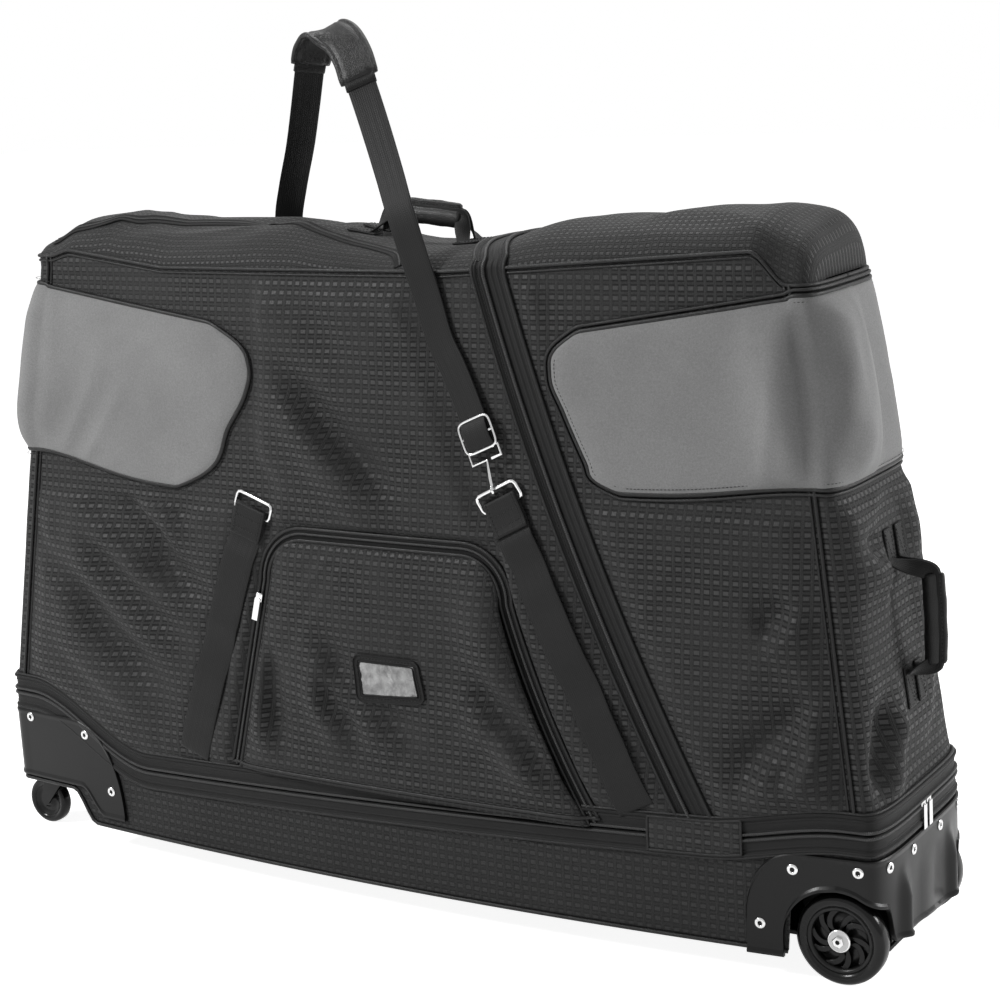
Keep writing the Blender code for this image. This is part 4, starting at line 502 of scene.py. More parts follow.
def seam_z(x):
    """Height of the seam between side walls and top panels."""
    top_corner = COVER_TOP_LENGTH / 2 - CORNER_DEPTH
    x = np.clip(x, -top_corner, top_corner)
    caster = np.maximum(0, (-x - SEAM_RISE_CASTER_X) / (top_corner - SEAM_RISE_CASTER_X))
    wheel = np.maximum(0, (x - SEAM_RISE_WHEEL_X) / (top_corner - SEAM_RISE_WHEEL_X))
    drop = smooth((np.abs(x) - SEAM_DROP_X) / (top_corner - SEAM_DROP_X)) * np.where(x < 0, 0.35, 1.0)
    return SEAM_Z + SEAM_CASTER_RISE * caster + SEAM_WHEEL_RISE * wheel - SEAM_END_DROP * drop


def rise_share(x, z):
    foot = zip_z(x) + CUT_GAP
    return np.clip((z - foot) / (SEAM_Z - foot), 0, 1)


def half_length(z, end):
    return lerp(COVER_FOOT_LENGTH, COVER_TOP_LENGTH, rise_share(end * HALF_LENGTH, z)) / 2


def half_width(x, z):
    low = lerp(BASE_WIDTH, BASE_END_WIDTH, (x / HALF_LENGTH) ** 2) / 2
    high = lerp(COVER_TOP_WIDTH, COVER_TOP_END_WIDTH, (2 * x / COVER_TOP_LENGTH) ** 2) / 2
    return lerp(low, high, rise_share(x, z))


def corner_x(z, end):
    return half_length(z, end) - CORNER_DEPTH


def band_x(z):
    """Middle of the diagonal zip on the side walls."""
    drop = np.maximum(0, (SEAM_Z - z) / (SEAM_Z - zip_z(BAND_FOOT_X) - CUT_GAP))
    return BAND_TOP_X + (BAND_FOOT_X - BAND_TOP_X) * (BAND_BOW_SHARE * drop + (1 - BAND_BOW_SHARE) * drop * drop)


def band_top_x(across):
    return lerp(BAND_RIDGE_X, BAND_TOP_X, np.minimum(1, (across / BAND_TURN_SHARE) ** 2))


def side_wall(x, z, side):
    """Places and outward directions on the plain side wall."""
    x, z = arrays(x, z)
    step = CORNER_DEPTH / 10
    slope = (half_width(x + step, z) - half_width(x - step, z)) / (2 * step)
    spot = np.stack([x, side * half_width(x, z), z], -1)
    return spot, unit(np.stack([-slope, np.full(x.shape, float(side)), np.zeros(x.shape)], -1))


def end_wall(w, z, end):
    """Places and outward directions on the plain rounded end; w runs from -1, front, to 1, back."""
    w, z = arrays(w, z)
    corner = corner_x(z, end)
    reach = np.maximum(0, 1 - np.abs(w) ** CORNER_SHARE) ** (1 / CORNER_SHARE)
    half = half_width(end * corner, z)
    spot = np.stack([end * (corner + CORNER_DEPTH * reach), w * half, z], -1)
    out = np.stack([end * reach ** 3 / CORNER_DEPTH, np.sign(w) * np.abs(w) ** 3 / half, np.zeros(w.shape)], -1)
    return spot, unit(out)


def top_half_width(x):
    end = np.where(x < 0, -1.0, 1.0)
    seam = seam_z(end * HALF_LENGTH)
    corner = corner_x(seam, end)
    reach = np.clip((np.abs(x) - corner) / CORNER_DEPTH, 0, 1)
    beyond = half_width(end * corner, seam) * np.maximum(0, 1 - reach ** CORNER_SHARE) ** (1 / CORNER_SHARE)
    return np.where(np.abs(x) <= corner, half_width(x, seam_z(x)), beyond)


def top_z(x, across):
    """Height of the crowned top; across runs from -1, front seam, to 1, back seam."""
    caster = np.clip((-x - CROWN_CASTER_X) / (COVER_TOP_LENGTH / 2 - CROWN_CASTER_X), 0, 1)
    wheel = np.clip((x - CROWN_WHEEL_X) / (COVER_TOP_LENGTH / 2 - CROWN_WHEEL_X), 0, 1)
    crown = CROWN_HEIGHT - CROWN_SAG * bell(x - CROWN_SAG_X, CROWN_SAG_REACH)
    crown = crown - CROWN_DIP * bell(x - CROWN_BAND_DIP_X, 0.06) - CROWN_HOOD_DROP * smooth((x - 0.20) / 0.08)
    full = SEAM_END_DROP * smooth((x - SEAM_DROP_X) / (COVER_TOP_LENGTH / 2 - CORNER_DEPTH - SEAM_DROP_X))
    full = full * np.sqrt(np.maximum(0, 1 - np.abs(across) ** 6)) * lerp(0.6, 1.0, smooth((across + 0.3) / 1.1))
    crown = crown - CROWN_DIP * bell(x - CROWN_CASTER_DIP_X, 0.035)
    shoulder = np.clip((x - CROWN_SHOULDER_X) / (COVER_TOP_LENGTH / 2 - CROWN_SHOULDER_X), 0, 1)
    full = full * np.sqrt(1 - shoulder ** 4)
    dome = np.maximum(0, 1 - np.abs(across) ** CROWN_EDGE_SHARE) ** CROWN_FALL_SHARE
    lift = lerp(SEAM_LIFT, GAP + COVER_THICKNESS, smooth((1 - np.abs(across)) / 0.2))
    return seam_z(x) + lift + full + crown * dome * np.sqrt((1 - caster ** 2) * (1 - wheel ** 4))


# Cloth that stands out of the plain walls

def under_patch(x, z, shape):
    """1 where a grey patch covers the wall, 0 away from it."""
    end = shape["end"]
    inside = smooth((end * x - shape["tip_x"] + 0.03) / 0.03)
    low = smooth((z - shape["foot_tip_z"] + PATCH_FOOT_MARGIN) / PATCH_FOOT_BLEND)
    return inside * low * smooth((shape["top_end_z"] + PATCH_TOP_MARGIN - z) / PATCH_TOP_BLEND)


def pocket_edge(z, right):
    drop = (POCKET_TOP_Z - z) / (POCKET_TOP_Z - POCKET_FOOT_Z)
    if right:
        return lerp(POCKET_RIGHT_TOP_X, POCKET_RIGHT_FOOT_X, lerp(drop, drop * drop, POCKET_FLARE_SHARE))
    return lerp(POCKET_LEFT_TOP_X, POCKET_LEFT_FOOT_X, drop)


def near_line(x, z, start, finish, reach):
    """1 beside a straight stretch, falling to 0 at a distance."""
    dx, dz = finish[0] - start[0], finish[1] - start[1]
    t = np.clip(((x - start[0]) * dx + (z - start[1]) * dz) / (dx * dx + dz * dz), 0, 1)
    return smooth(1.6 - np.hypot(x - start[0] - t * dx, z - start[1] - t * dz) / reach)


def swell(x, z, side):
    """How far the cloth of a side wall stands out of the plain wall."""
    top = seam_z(x) - z
    foot = z - zip_z(x) - CUT_GAP
    ends = np.minimum(corner_x(z, -1) + x, corner_x(z, 1) - x)
    band = np.abs(x - band_x(z)) - BAND_WIDTH / 2
    edge = np.maximum(0, np.minimum.reduce([top, foot, ends, band]))
    field = with_folds(CLOTH_STAND * np.ones(np.shape(x)), x, z, FRONT_FOLDS if side < 0 else BACK_FOLDS)
    lean = np.where(x > band_x(z), 1.0, 0.0)
    slant = lerp(wrinkles(x, z, *LEFT_SLANT, 0.3 * side), wrinkles(x, z, *RIGHT_SLANT, 2.1), lean)
    field = field + SLANT_HEIGHT * slant + WAVE_HEIGHT * wrinkles(x, z, *WALL_WAVE, 5.0 + side)
    pulls = wrinkles(x, z, *EDGE_PULL, 9.0)
    field = field + PULL_HEIGHT * pulls * smooth(1 - np.minimum(top, foot) / 0.10)
    calm = 1 - under_patch(x, z, CASTER_BUMPER)
    calm = calm * (1 - under_patch(x, z, WHEEL_BUMPER))
    for word, (ring, base) in RING_SPOTS.items():
        if (side < 0) == word.startswith("front"):
            calm = calm * (1 - 0.9 * near_line(x, z, ring, (ring[0], ring[1] + RING_HEIGHT), 0.035))
            calm = calm * (1 - 0.5 * near_line(x, z, ring, base, 0.022))
    if side < 0:
        calm = calm * (1 - 0.9 * near_line(x, z, *FRONT_STRAP_LINE, 0.04))
        inside = np.minimum(x - pocket_edge(z, False), pocket_edge(z, True) - x)
        calm = calm * (1 - smooth((np.minimum(inside, POCKET_TOP_Z - z) + 0.012) / 0.012))
    else:
        calm = calm * (1 - 0.9 * near_line(x, z, *BACK_STRAP_LINE, 0.045))
    return smooth(edge / LOOSE_EDGE) * calm * field


def wall_at(x, z, side, lift=0.0):
    """Places and outward directions on the cloth of a side wall, at a height above it."""
    x, z = arrays(x, z)
    spot, out = side_wall(x, z, side)
    return spot + out * (swell(x, z, side) + lift)[..., None], out


def end_swell(w, z, end):
    foot, top = zip_z(end * HALF_LENGTH) + CUT_GAP, seam_z(end * HALF_LENGTH)
    y = w * half_width(end * corner_x(z, end), z)
    edge = smooth(np.minimum(z - foot, top - z) / LOOSE_EDGE) * smooth((1 - np.abs(w)) / 0.25)
    shape = CASTER_BUMPER if end < 0 else WHEEL_BUMPER
    low = smooth((z - shape["foot_end_z"] + PATCH_FOOT_MARGIN) / PATCH_FOOT_BLEND)
    calm = 1 - low * smooth((shape["top_end_z"] + PATCH_TOP_MARGIN - z) / PATCH_TOP_BLEND)
    handle = near_line(y, z, (END_HANDLE_Y * end, 0.29), (END_HANDLE_Y * end, 0.52), 0.035)
    field = 0.003 + 0.0048 * wrinkles(y, z, 1.0 * end, 0.16, 0.045, 3.0 + end)
    field = field + 0.0040 * wrinkles(y, z, *END_CREASE, 8.0)
    if end > 0:
        field = field + 0.008 * bell(z - 0.50, 0.07) - 0.008 * bell(z - 0.245, 0.05)
    return edge * calm * (1 - 0.95 * handle) * with_folds(field, y, z, END_FOLDS)


def end_at(w, z, end, lift=0.0):
    w, z = arrays(w, z)
    spot, out = end_wall(w, z, end)
    return spot + out * (end_swell(w, z, end) + lift)[..., None], out


def top_swell(x, across):
    y = across * top_half_width(x)
    edge = smooth((1 - np.abs(across)) / 0.35) * smooth((COVER_TOP_LENGTH / 2 - np.abs(x)) / 0.05)
    band = np.maximum(0, np.abs(x - band_top_x(across)) - BAND_WIDTH / 2)
    calm = 1 - near_line(x, y, (-0.06, 0), (0.13, 0), 0.03)
    field = 0.0042 * wrinkles(x, y, *TOP_SLANT, 4.0) + 0.0028 * wrinkles(x, y, *TOP_CROSS_SLANT, 6.0)
    return edge * smooth(band / 0.03) * calm * with_folds(field, x, y, TOP_FOLDS, TOP_FOLD_SHARE)


def top_at(x, across, lift=0.0):
    """Places and upward directions on the cloth of the top."""
    x, across = arrays(x, across)

    def spot(x, across):
        return np.stack([x, across * top_half_width(x), top_z(x, across) + top_swell(x, across)], -1)

    step = 0.004
    inner = np.clip(across, step - 1, 1 - step)
    along = spot(x + step / 4, inner) - spot(x - step / 4, inner)
    sideways = spot(x, inner + step) - spot(x, inner - step)
    out = unit(np.cross(along, sideways))
    return spot(x, across) + out * (np.zeros(x.shape) + lift)[..., None], out


# Node materials

def add_node(tree, kind, inputs=(), **settings):
    """A new node with its settings, and with each input linked to a socket or set to a value."""
    node = tree.nodes.new(kind)
    for key, value in settings.items():
        setattr(node, key, value)
    for key, value in dict(inputs).items():
        if isinstance(value, bpy.types.NodeSocket):
            tree.links.new(value, node.inputs[key])
        else:
            node.inputs[key].default_value = value
    return node


class Finish:
    """A Principled material that is built from nodes."""

    def __init__(self, name, roughness, metallic=0.0, **settings):
        self.material = bpy.data.materials.new(name)
        self.material.use_nodes = True
        self.tree = self.material.node_tree
        self.shader = self.tree.nodes["Principled BSDF"]
        settings.update(Roughness=roughness, Metallic=metallic)
        for key, value in settings.items():
            self.shader.inputs[key.replace("_", " ")].default_value = value

    def node(self, kind, inputs=(), **settings):
        return add_node(self.tree, kind, inputs, **settings)

    def math(self, operation, *values):
        return self.node("ShaderNodeMath", dict(enumerate(values)), operation=operation).outputs[0]

    def plus(self, a, b):
        return self.math("ADD", a, b)

    def minus(self, a, b):
        return self.math("SUBTRACT", a, b)

    def times(self, a, b):
        return self.math("MULTIPLY", a, b)

    def off(self, value, centre):
        """Distance of a value from a centre."""
        return self.math("ABSOLUTE", self.minus(value, centre))

    def sway(self, grain, strength):
        """A grain that goes as far up as down."""
        return self.times(self.minus(grain, 0.5), strength)

    def step(self, value, low, high):
        """0 below low and 1 above high, smoothly; high may be the lower one."""
        inputs = {"Value": value, "From Min": low, "From Max": high}
        return self.node("ShaderNodeMapRange", inputs, interpolation_type="SMOOTHSTEP").outputs[0]

    def place(self):
        return self.node("ShaderNodeTexCoord").outputs["Object"]

    def cloth_uv(self):
        split = self.node("ShaderNodeSeparateXYZ", {"Vector": self.node("ShaderNodeUVMap", uv_map="cloth").outputs[0]})
        return split.outputs[0], split.outputs[1]

    def grain(self, scale, detail=2.0, vector=None):
        inputs = {"Scale": scale, "Detail": detail, "Vector": vector or self.place()}
        return self.node("ShaderNodeTexNoise", inputs).outputs["Fac"]

    def mix(self, factor, low, high):
        """Mixes two colours, each a socket or the value of a grey."""
        low, high = (value if isinstance(value, bpy.types.NodeSocket) else (value, value, value, 1)
                     for value in (low, high))
        return self.node("ShaderNodeMix", {0: factor, 6: low, 7: high}, data_type="RGBA").outputs[2]

    def feed(self, name, socket):
        self.tree.links.new(socket, self.shader.inputs[name])

    def colour(self, factor, low, high):
        self.feed("Base Color", self.mix(factor, low, high))

    def rough(self, base, share, amount):
        """Roughness of a base plus a share of an amount."""
        self.feed("Roughness", self.plus(base, self.times(share, amount)))

    def bump(self, height, distance, strength):
        node = self.node("ShaderNodeBump", {"Height": height, "Distance": distance, "Strength": strength})
        self.feed("Normal", node.outputs[0])


def jacquard(name, pitch, dark, plain, bright, sheen, strong=1.0):
    """Cloth with a woven grid of small satin squares, each between two short dark dashes."""
    finish = Finish(name, 0.72, Sheen_Weight=sheen, Sheen_Roughness=0.45, Specular_IOR_Level=0.26)
    u, v = finish.cloth_uv()
    cell_u = finish.off(finish.math("FRACT", finish.math("DIVIDE", u, pitch)), 0.5)
    cell_v = finish.off(finish.math("FRACT", finish.math("DIVIDE", v, pitch)), 0.5)
    square = finish.times(finish.step(cell_u, 0.30, 0.23), finish.step(cell_v, 0.23, 0.16))
    level = finish.off(cell_v, 0.30)
    dash = finish.times(finish.step(cell_u, 0.38, 0.31), finish.step(level, 0.095, 0.05))
    post = finish.step(finish.off(cell_u, 0.44), 0.05, 0.02)
    thread = finish.math("PINGPONG", finish.math("DIVIDE", u, pitch / 10), 0.5)
    faint = finish.step(finish.grain(14.0, 3.0), 0.32, 0.66)
    amount = finish.plus(1 - 0.6 * strong, finish.times(faint, 0.6 * strong))
    cloud = finish.sway(finish.grain(5.0, 4.0), 0.5)
    fibre = finish.sway(finish.grain(620.0, 3.0), 1.3)
    tone = finish.plus(finish.plus(cloud, fibre), finish.times(thread, 0.3))
    ground = finish.mix(finish.step(tone, -0.45, 0.60), plain * 0.55, plain * 1.45)
    satin = finish.times(finish.plus(square, finish.times(post, 0.25)), finish.times(amount, 0.62 * strong))
    ground = finish.mix(satin, ground, bright)
    finish.colour(finish.times(dash, finish.times(amount, 0.9 * strong)), ground, dark)
    height = finish.plus(finish.times(square, 0.5), finish.times(post, 0.25))
    height = finish.minus(height, finish.times(dash, 0.5))
    height = finish.plus(finish.times(height, amount), finish.times(fibre, 0.35))
    finish.rough(0.74, square, -0.26)
    finish.bump(height, 0.0010, 1.0)
    return finish.material


def tape(name, colour, pitch, roughness=0.7, sheen=0.2):
    """Woven tape with fine ribs across it and a slight salt of fibre."""
    finish = Finish(name, roughness, Sheen_Weight=sheen, Sheen_Roughness=0.4, Specular_IOR_Level=0.22)
    u, v = finish.cloth_uv()
    zig = finish.math("PINGPONG", finish.plus(u, finish.math("PINGPONG", v, pitch * 1.5)), pitch / 2)
    rib = finish.step(zig, 0.0, pitch / 2)
    warp = finish.step(finish.math("PINGPONG", v, pitch * 0.45), 0.0, pitch * 0.45)
    height = finish.plus(finish.times(rib, 0.5), finish.times(warp, 0.4))
    height = finish.plus(height, finish.times(finish.grain(1100.0, 2.0), 0.3))
    wear = finish.sway(finish.grain(14.0, 3.0), 0.5)
    shade = finish.step(finish.plus(height, wear), 0.1, 1.1)
    finish.colour(shade, colour * 0.55, colour * 1.5)
    finish.rough(roughness - 0.1, height, 0.15)
    finish.bump(height, 0.0004, 0.7)
    return finish.material


def coil():
    """The spiral of a nylon zip, as closely set slanting loops."""
    finish = Finish("zip_coil", 0.42)
    u, v = finish.cloth_uv()
    slant = finish.plus(u, finish.times(v, 0.5))
    loop = finish.step(finish.math("PINGPONG", slant, 0.0011), 0.0001, 0.0010)
    finish.colour(loop, 0.008, 0.045)
    finish.bump(loop, 0.0006, 0.9)
    return finish.material


def felt():
    """Grey brushed patch cloth."""
    finish = Finish("patch_cloth", 0.85, Sheen_Weight=0.20, Sheen_Roughness=0.5, Specular_IOR_Level=0.2)
    fine, coarse, cloud = finish.grain(1500.0, 2.0), finish.grain(420.0, 3.0), finish.grain(9.0, 4.0)
    weave = finish.plus(finish.times(fine, 0.6), finish.times(coarse, 0.4))
    shade = finish.plus(weave, finish.sway(cloud, 0.35))
    finish.colour(finish.step(shade, 0.25, 0.80), 0.215, 0.340)
    finish.bump(weave, 0.0005, 0.6)
    return finish.material


def plastic(name, colour, roughness, grain_scale=700.0, grain_depth=0.00015):
    """Moulded plastic with fine spark texture, paler on worn edges."""
    finish = Finish(name, roughness, Specular_IOR_Level=0.27)
    grain = finish.grain(grain_scale, 2.0)
    edge = finish.step(finish.node("ShaderNodeNewGeometry").outputs["Pointiness"], 0.52, 0.60)
    scuff = finish.times(edge, finish.step(finish.grain(60.0, 4.0), 0.35, 0.7))
    cloud = finish.grain(11.0, 4.0)
    plain = finish.mix(cloud, colour * 0.8, colour * 1.2)
    finish.colour(finish.times(scuff, 0.5), plain, colour * 3 + 0.008)
    finish.rough(roughness - 0.08, finish.grain(25.0, 4.0), 0.16)
    finish.bump(grain, grain_depth, 0.6)
    return finish.material


def metal(name, colour, roughness, brushed=0.0):
    finish = Finish(name, roughness, 1.0)
    stretched = finish.node("ShaderNodeMapping", {"Vector": finish.place(), "Scale": (1, 1, 12)}).outputs[0]
    scratch = finish.grain(220.0, 3.0, stretched)
    finish.colour(finish.grain(30.0, 3.0), colour * 0.9, colour)
    finish.rough(roughness - 0.03, scratch, 0.06 + brushed)
    finish.bump(scratch, 0.00005, 0.3 + brushed)
    return finish.material


def leather(name, colour, roughness):
    finish = Finish(name, roughness, Coat_Weight=0.05, Coat_Roughness=0.3, Specular_IOR_Level=0.35)
    cells = finish.node("ShaderNodeTexVoronoi", {"Scale": 520.0, "Vector": finish.place()}, feature="DISTANCE_TO_EDGE")
    skin = finish.step(cells.outputs["Distance"], 0.0, 0.25)
    height = finish.plus(skin, finish.times(finish.grain(90.0, 3.0), 0.5))
    finish.colour(skin, colour * 0.5, colour)
    finish.rough(roughness - 0.08, finish.grain(35.0, 3.0), 0.16)
    finish.bump(height, 0.0003, 0.6)
    return finish.material


def clear_sheet():
    finish = Finish("clear_vinyl_painted_reflection", 0.16, IOR=1.45, Transmission_Weight=0.15, Coat_Weight=0.4, Coat_Roughness=0.08)
    # Painted reflection: the pale grey mottle in this colour stands in for light glancing off the crinkled vinyl, which
    # has no grey of its own.
    finish.colour(finish.step(finish.grain(60.0, 4.0), 0.35, 0.70), 0.26, 0.56)
    finish.bump(finish.grain(90.0, 3.0), 0.004, 0.9)
    return finish.material


FINISH = {
    "jacquard": jacquard("jacquard_cloth", WEAVE_PITCH, 0.0015, 0.031, 0.080, 0.05),
    "jacquard_top": jacquard("jacquard_top_cloth", WEAVE_PITCH * 0.7, 0.003, 0.027, 0.046, 0.08, 0.5),
    "jacquard_base": jacquard("jacquard_base_cloth", WEAVE_PITCH, 0.003, 0.026, 0.052, 0.05, 0.55),
    "lining": tape("lining_cloth", 0.012, 0.0020),
    "tape": tape("zip_tape_weave", 0.010, 0.0022, 0.7, 0.08),
    "hem": tape("hem_tape_weave", 0.013, 0.0016, 0.6, 0.08),
    "coil": coil(),
    "webbing": tape("webbing_weave", 0.011, 0.0030, 0.55, 0.08),
    "felt": felt(),
    "piping": leather("piping_skin", 0.008, 0.42),
    "moulding": plastic("guard_plastic", 0.0036, 0.32),
    "hub": plastic("hub_plastic", 0.007, 0.30, 400.0),
    "board": plastic("board_plastic", 0.014, 0.6),
    "tyre": plastic("tyre_rubber", 0.006, 0.22, 300.0),
    "chrome": metal("bright_plating", 0.86, 0.16),
    "steel": metal("zinc_steel", 0.52, 0.30, 0.1),
    "aluminium": metal("brushed_alloy", 0.70, 0.34, 0.3),
    "leather": leather("grip_leather", 0.009, 0.36),
    "thread": tape("sewing_thread", 0.030, 0.0006, 0.5),
    "clear": clear_sheet(),
    # Painted shade: near-black plates that stand for the shaded inside of hexagon sockets.
    "socket": plastic("bolt_socket_shade", 0.006, 0.5),
}


# Mesh builders

def new_piece(name, mesh, finish):
    for polygon in mesh.polygons:
        polygon.use_smooth = True
    piece = bpy.data.objects.new(name, mesh)
    bpy.context.scene.collection.objects.link(piece)
    for word in finish if isinstance(finish, tuple) else (finish,):
        mesh.materials.append(FINISH[word])
    return piece


def write_uv(mesh, corners):
    layer = mesh.uv_layers.new(name="cloth")
    layer.data.foreach_set("uv", np.asarray(corners, np.float32).ravel())


def grid_mesh(name, spots, places, outward):
    """A net of quads through rows of spots, its cloth places in metres, facing outward."""
    rows, columns = spots.shape[:2]
    index = np.arange(rows * columns).reshape(rows, columns)
    faces = np.stack([index[:-1, :-1], index[:-1, 1:], index[1:, 1:], index[1:, :-1]], -1).reshape(-1, 4)
    flat = spots.reshape(-1, 3)
    middle = faces[len(faces) // 2]
    normal = np.cross(flat[middle[2]] - flat[middle[0]], flat[middle[3]] - flat[middle[1]])
    if normal @ outward.reshape(-1, 3)[middle[0]] < 0:
        faces = faces[:, ::-1]
    mesh = bpy.data.meshes.new(name)
    mesh.from_pydata(flat.tolist(), [], faces.tolist())
    write_uv(mesh, places.reshape(-1, 2)[faces.ravel()])
    mesh.validate()
    return mesh


def cloth(name, spots, places, outward, finish, thickness=CLOTH_THICKNESS, lining="lining"):
    """A panel with its lining on the inner side."""
    piece = new_piece(name, grid_mesh(name, spots, places, outward), (finish, lining))
    layer = piece.modifiers.new("Thickness", "SOLIDIFY")
    layer.thickness = thickness
    layer.offset = -1
    layer.material_offset = 1
    return piece


def sweep(name, sections, finish, closed=False):
    """A skin through closed sections of points, with a cap at each end unless it is closed."""
    sections = np.asarray(sections, float)
    count, points = sections.shape[:2]
    middle = sections.mean(1)
    hops = np.linalg.norm(np.diff(np.vstack([middle, middle[:1]]), axis=0), axis=1)
    along = np.concatenate([[0], np.cumsum(hops)])
    sides = np.linalg.norm(np.roll(sections, -1, 1) - sections, axis=2)
    around = np.concatenate([np.zeros((count, 1)), np.cumsum(sides, 1)], 1)
    faces, corners = [], []
    for i in range(count if closed else count - 1):
        n = (i + 1) % count
        for j in range(points):
            k = (j + 1) % points
            faces.append((i * points + j, i * points + k, n * points + k, n * points + j))
            corners += [(along[i], around[i, j]), (along[i], around[i, j + 1]),
                        (along[i + 1], around[n, j + 1]), (along[i + 1], around[n, j])]
    if not closed:
        for i in (0, count - 1):
            faces.append([i * points + j for j in range(points)])
            corners += [(along[i], around[i, j]) for j in range(points)]
    mesh = bpy.data.meshes.new(name)
    mesh.from_pydata(sections.reshape(-1, 3).tolist(), [], faces)
    write_uv(mesh, corners)
    bm = bmesh.new()
    bm.from_mesh(mesh)
    bmesh.ops.recalc_face_normals(bm, faces=bm.faces)
    bm.to_mesh(mesh)
    bm.free()
    return new_piece(name, mesh, finish)


def soften(piece, width, angle=35):
    bevel = piece.modifiers.new("Rounded edges", "BEVEL")
    bevel.width = width
    bevel.segments = 2
    bevel.limit_method = "ANGLE"
    bevel.angle_limit = math.radians(angle)
    bevel.harden_normals = True
    return piece


def circle(radius, count=10, squash=1.0):
    turn = np.linspace(0, math.tau, count, endpoint=False)
    return np.stack([np.cos(turn) * radius, np.sin(turn) * radius * squash], -1)


def flat_bar(width, thickness, lift=0.0, corner=3):
    """Rounded cross-section of a flat band that lies at a height; points go round it."""
    radius = thickness / 2
    points = []
    for centre, start in ((width / 2 - radius, -90), (radius - width / 2, 90)):
        for k in range(corner * 2 + 1):
            a = math.radians(start + 180 * k / (corner * 2))
            points.append((centre + radius * math.cos(a), lift + radius + radius * math.sin(a)))
    for k in range(1, 6):
        points.insert(corner * 2 + k, (lerp(width / 2 - radius, radius - width / 2, k / 6), lift + thickness))
    return np.array(points)


def ridged(width, thickness, ridges, samples=48):
    """Cross-section of a band with ridges along it, each a place across, a half width and a height."""
    across = np.linspace(width / 2, -width / 2, samples)
    height = np.full(samples, thickness)
    for place, half, rise in ridges:
        height = height + rise * np.sqrt(np.maximum(0, 1 - ((across - place) / half) ** 2))
    height[0] = height[-1] = thickness * 0.5
    upper = np.stack([across, height], -1)
    return np.vstack([upper, [(-width / 2, 0), (width / 2, 0)]])


def strip(name, spots, outs, profile, finish, closed=False):
    """A cross-section of (across, out) points carried along spots."""
    spots, outs = np.asarray(spots, float), np.asarray(outs, float)
    if closed:
        ahead = np.roll(spots, -1, 0) - np.roll(spots, 1, 0)
    else:
        ahead = np.gradient(spots, axis=0)
    across = unit(np.cross(outs, unit(ahead)))
    sections = (spots[:, None] + across[:, None] * profile[None, :, :1] + outs[:, None] * profile[None, :, 1:])
    return sweep(name, sections, finish, closed)


def lathe(name, profile, centre, axis, finish, steps=72):
    """A closed profile of (radius, along) points turned about an axis."""
    axis = np.array(Vector(axis).normalized())
    u = np.array(Vector(axis).orthogonal().normalized())
    v = np.cross(axis, u)
    turn = np.linspace(0, math.tau, steps, endpoint=False)
    profile = np.asarray(profile, float)
    spoke = u[None] * np.cos(turn)[:, None] + v[None] * np.sin(turn)[:, None]
    sections = np.asarray(centre) + spoke[:, None] * profile[None, :, :1] + axis * profile[None, :, 1:]
    return sweep(name, sections, finish, closed=True)


def cord(name, line, outs, radius, body="cover", slot="zip_tape", finish="piping", closed=False, squash=1.0):
    """A round cord along a line, settled on its body."""
    settle(strip(name, line, outs, circle(radius, CORD_SIDES, squash), finish, closed), body, slot)


def repeated(out, count):
    return np.repeat(out[None], count, 0)


def rim(net):
    """The points round the edge of a net, each once."""
    return np.vstack([net[0, :-1], net[:-1, -1], net[-1, :0:-1], net[:0:-1, 0]])


def eased_loop(loop):
    """Rounds the corners of a closed line of points."""
    for _ in range(2):
        loop = (np.roll(loop, 1, 0) + 2 * loop + np.roll(loop, -1, 0)) / 4
    return loop


def joined(name, pieces):
    """Several pieces of one finish as one mesh."""
    first = pieces[0]
    bm = bmesh.new()
    for piece in pieces:
        bm.from_mesh(piece.data)
    bm.to_mesh(first.data)
    bm.free()
    for piece in pieces[1:]:
        bpy.data.objects.remove(piece)
    first.name = name
    return first


def stitches(name, path, outs):
    """A row of short threads along a path."""
    path, outs = np.asarray(path, float), np.asarray(outs, float)
    hops = run_along(path)
    sides = 5
    verts, faces = [], []
    for start in np.arange(STITCH_PITCH / 2, hops[-1] - STITCH_LENGTH, STITCH_PITCH):
        ends = [np.array([np.interp(at, hops, path[:, k]) for k in range(3)]) for at in (start, start + STITCH_LENGTH)]
        out = unit(np.array([np.interp(start, hops, outs[:, k]) for k in range(3)]))
        ahead = unit(ends[1] - ends[0])
        across = np.cross(out, ahead)
        base = len(verts)
        for share, size in ((0, 0.3), (0.2, 1.0), (0.8, 1.0), (1, 0.3)):
            middle = ends[0] + (ends[1] - ends[0]) * share
            for a in range(sides):
                turn = math.tau * a / sides
                verts.append(middle + (across * math.cos(turn) + out * math.sin(turn)) * STITCH_RADIUS * size)
        for ring in range(base, base + 3 * sides, sides):
            for a in range(sides):
                b = (a + 1) % sides
                faces.append([ring + a, ring + b, ring + sides + b, ring + sides + a])
        faces.append([base + a for a in range(sides)][::-1])
        faces.append([base + 3 * sides + a for a in range(sides)])
    mesh = bpy.data.meshes.new(name)
    mesh.from_pydata([tuple(v) for v in verts], [], faces)
    write_uv(mesh, np.zeros((sum(len(f) for f in faces), 2)))
    return new_piece(name, mesh, "thread")


def stitch_rows(name, rows, body="cover", slot="webbing"):
    """Rows of stitches as one piece, each row a path with its outward directions."""
    settle(joined(name, [stitches("row", *row) for row in rows]), body, slot)


def settle(piece, body, slot, *nodes):
    """Puts a piece on its body and hides the model's nodes that it stands for; its slot is not used."""
    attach(piece, body)
    if nodes:
        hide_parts(*nodes)
    return piece


# Panels

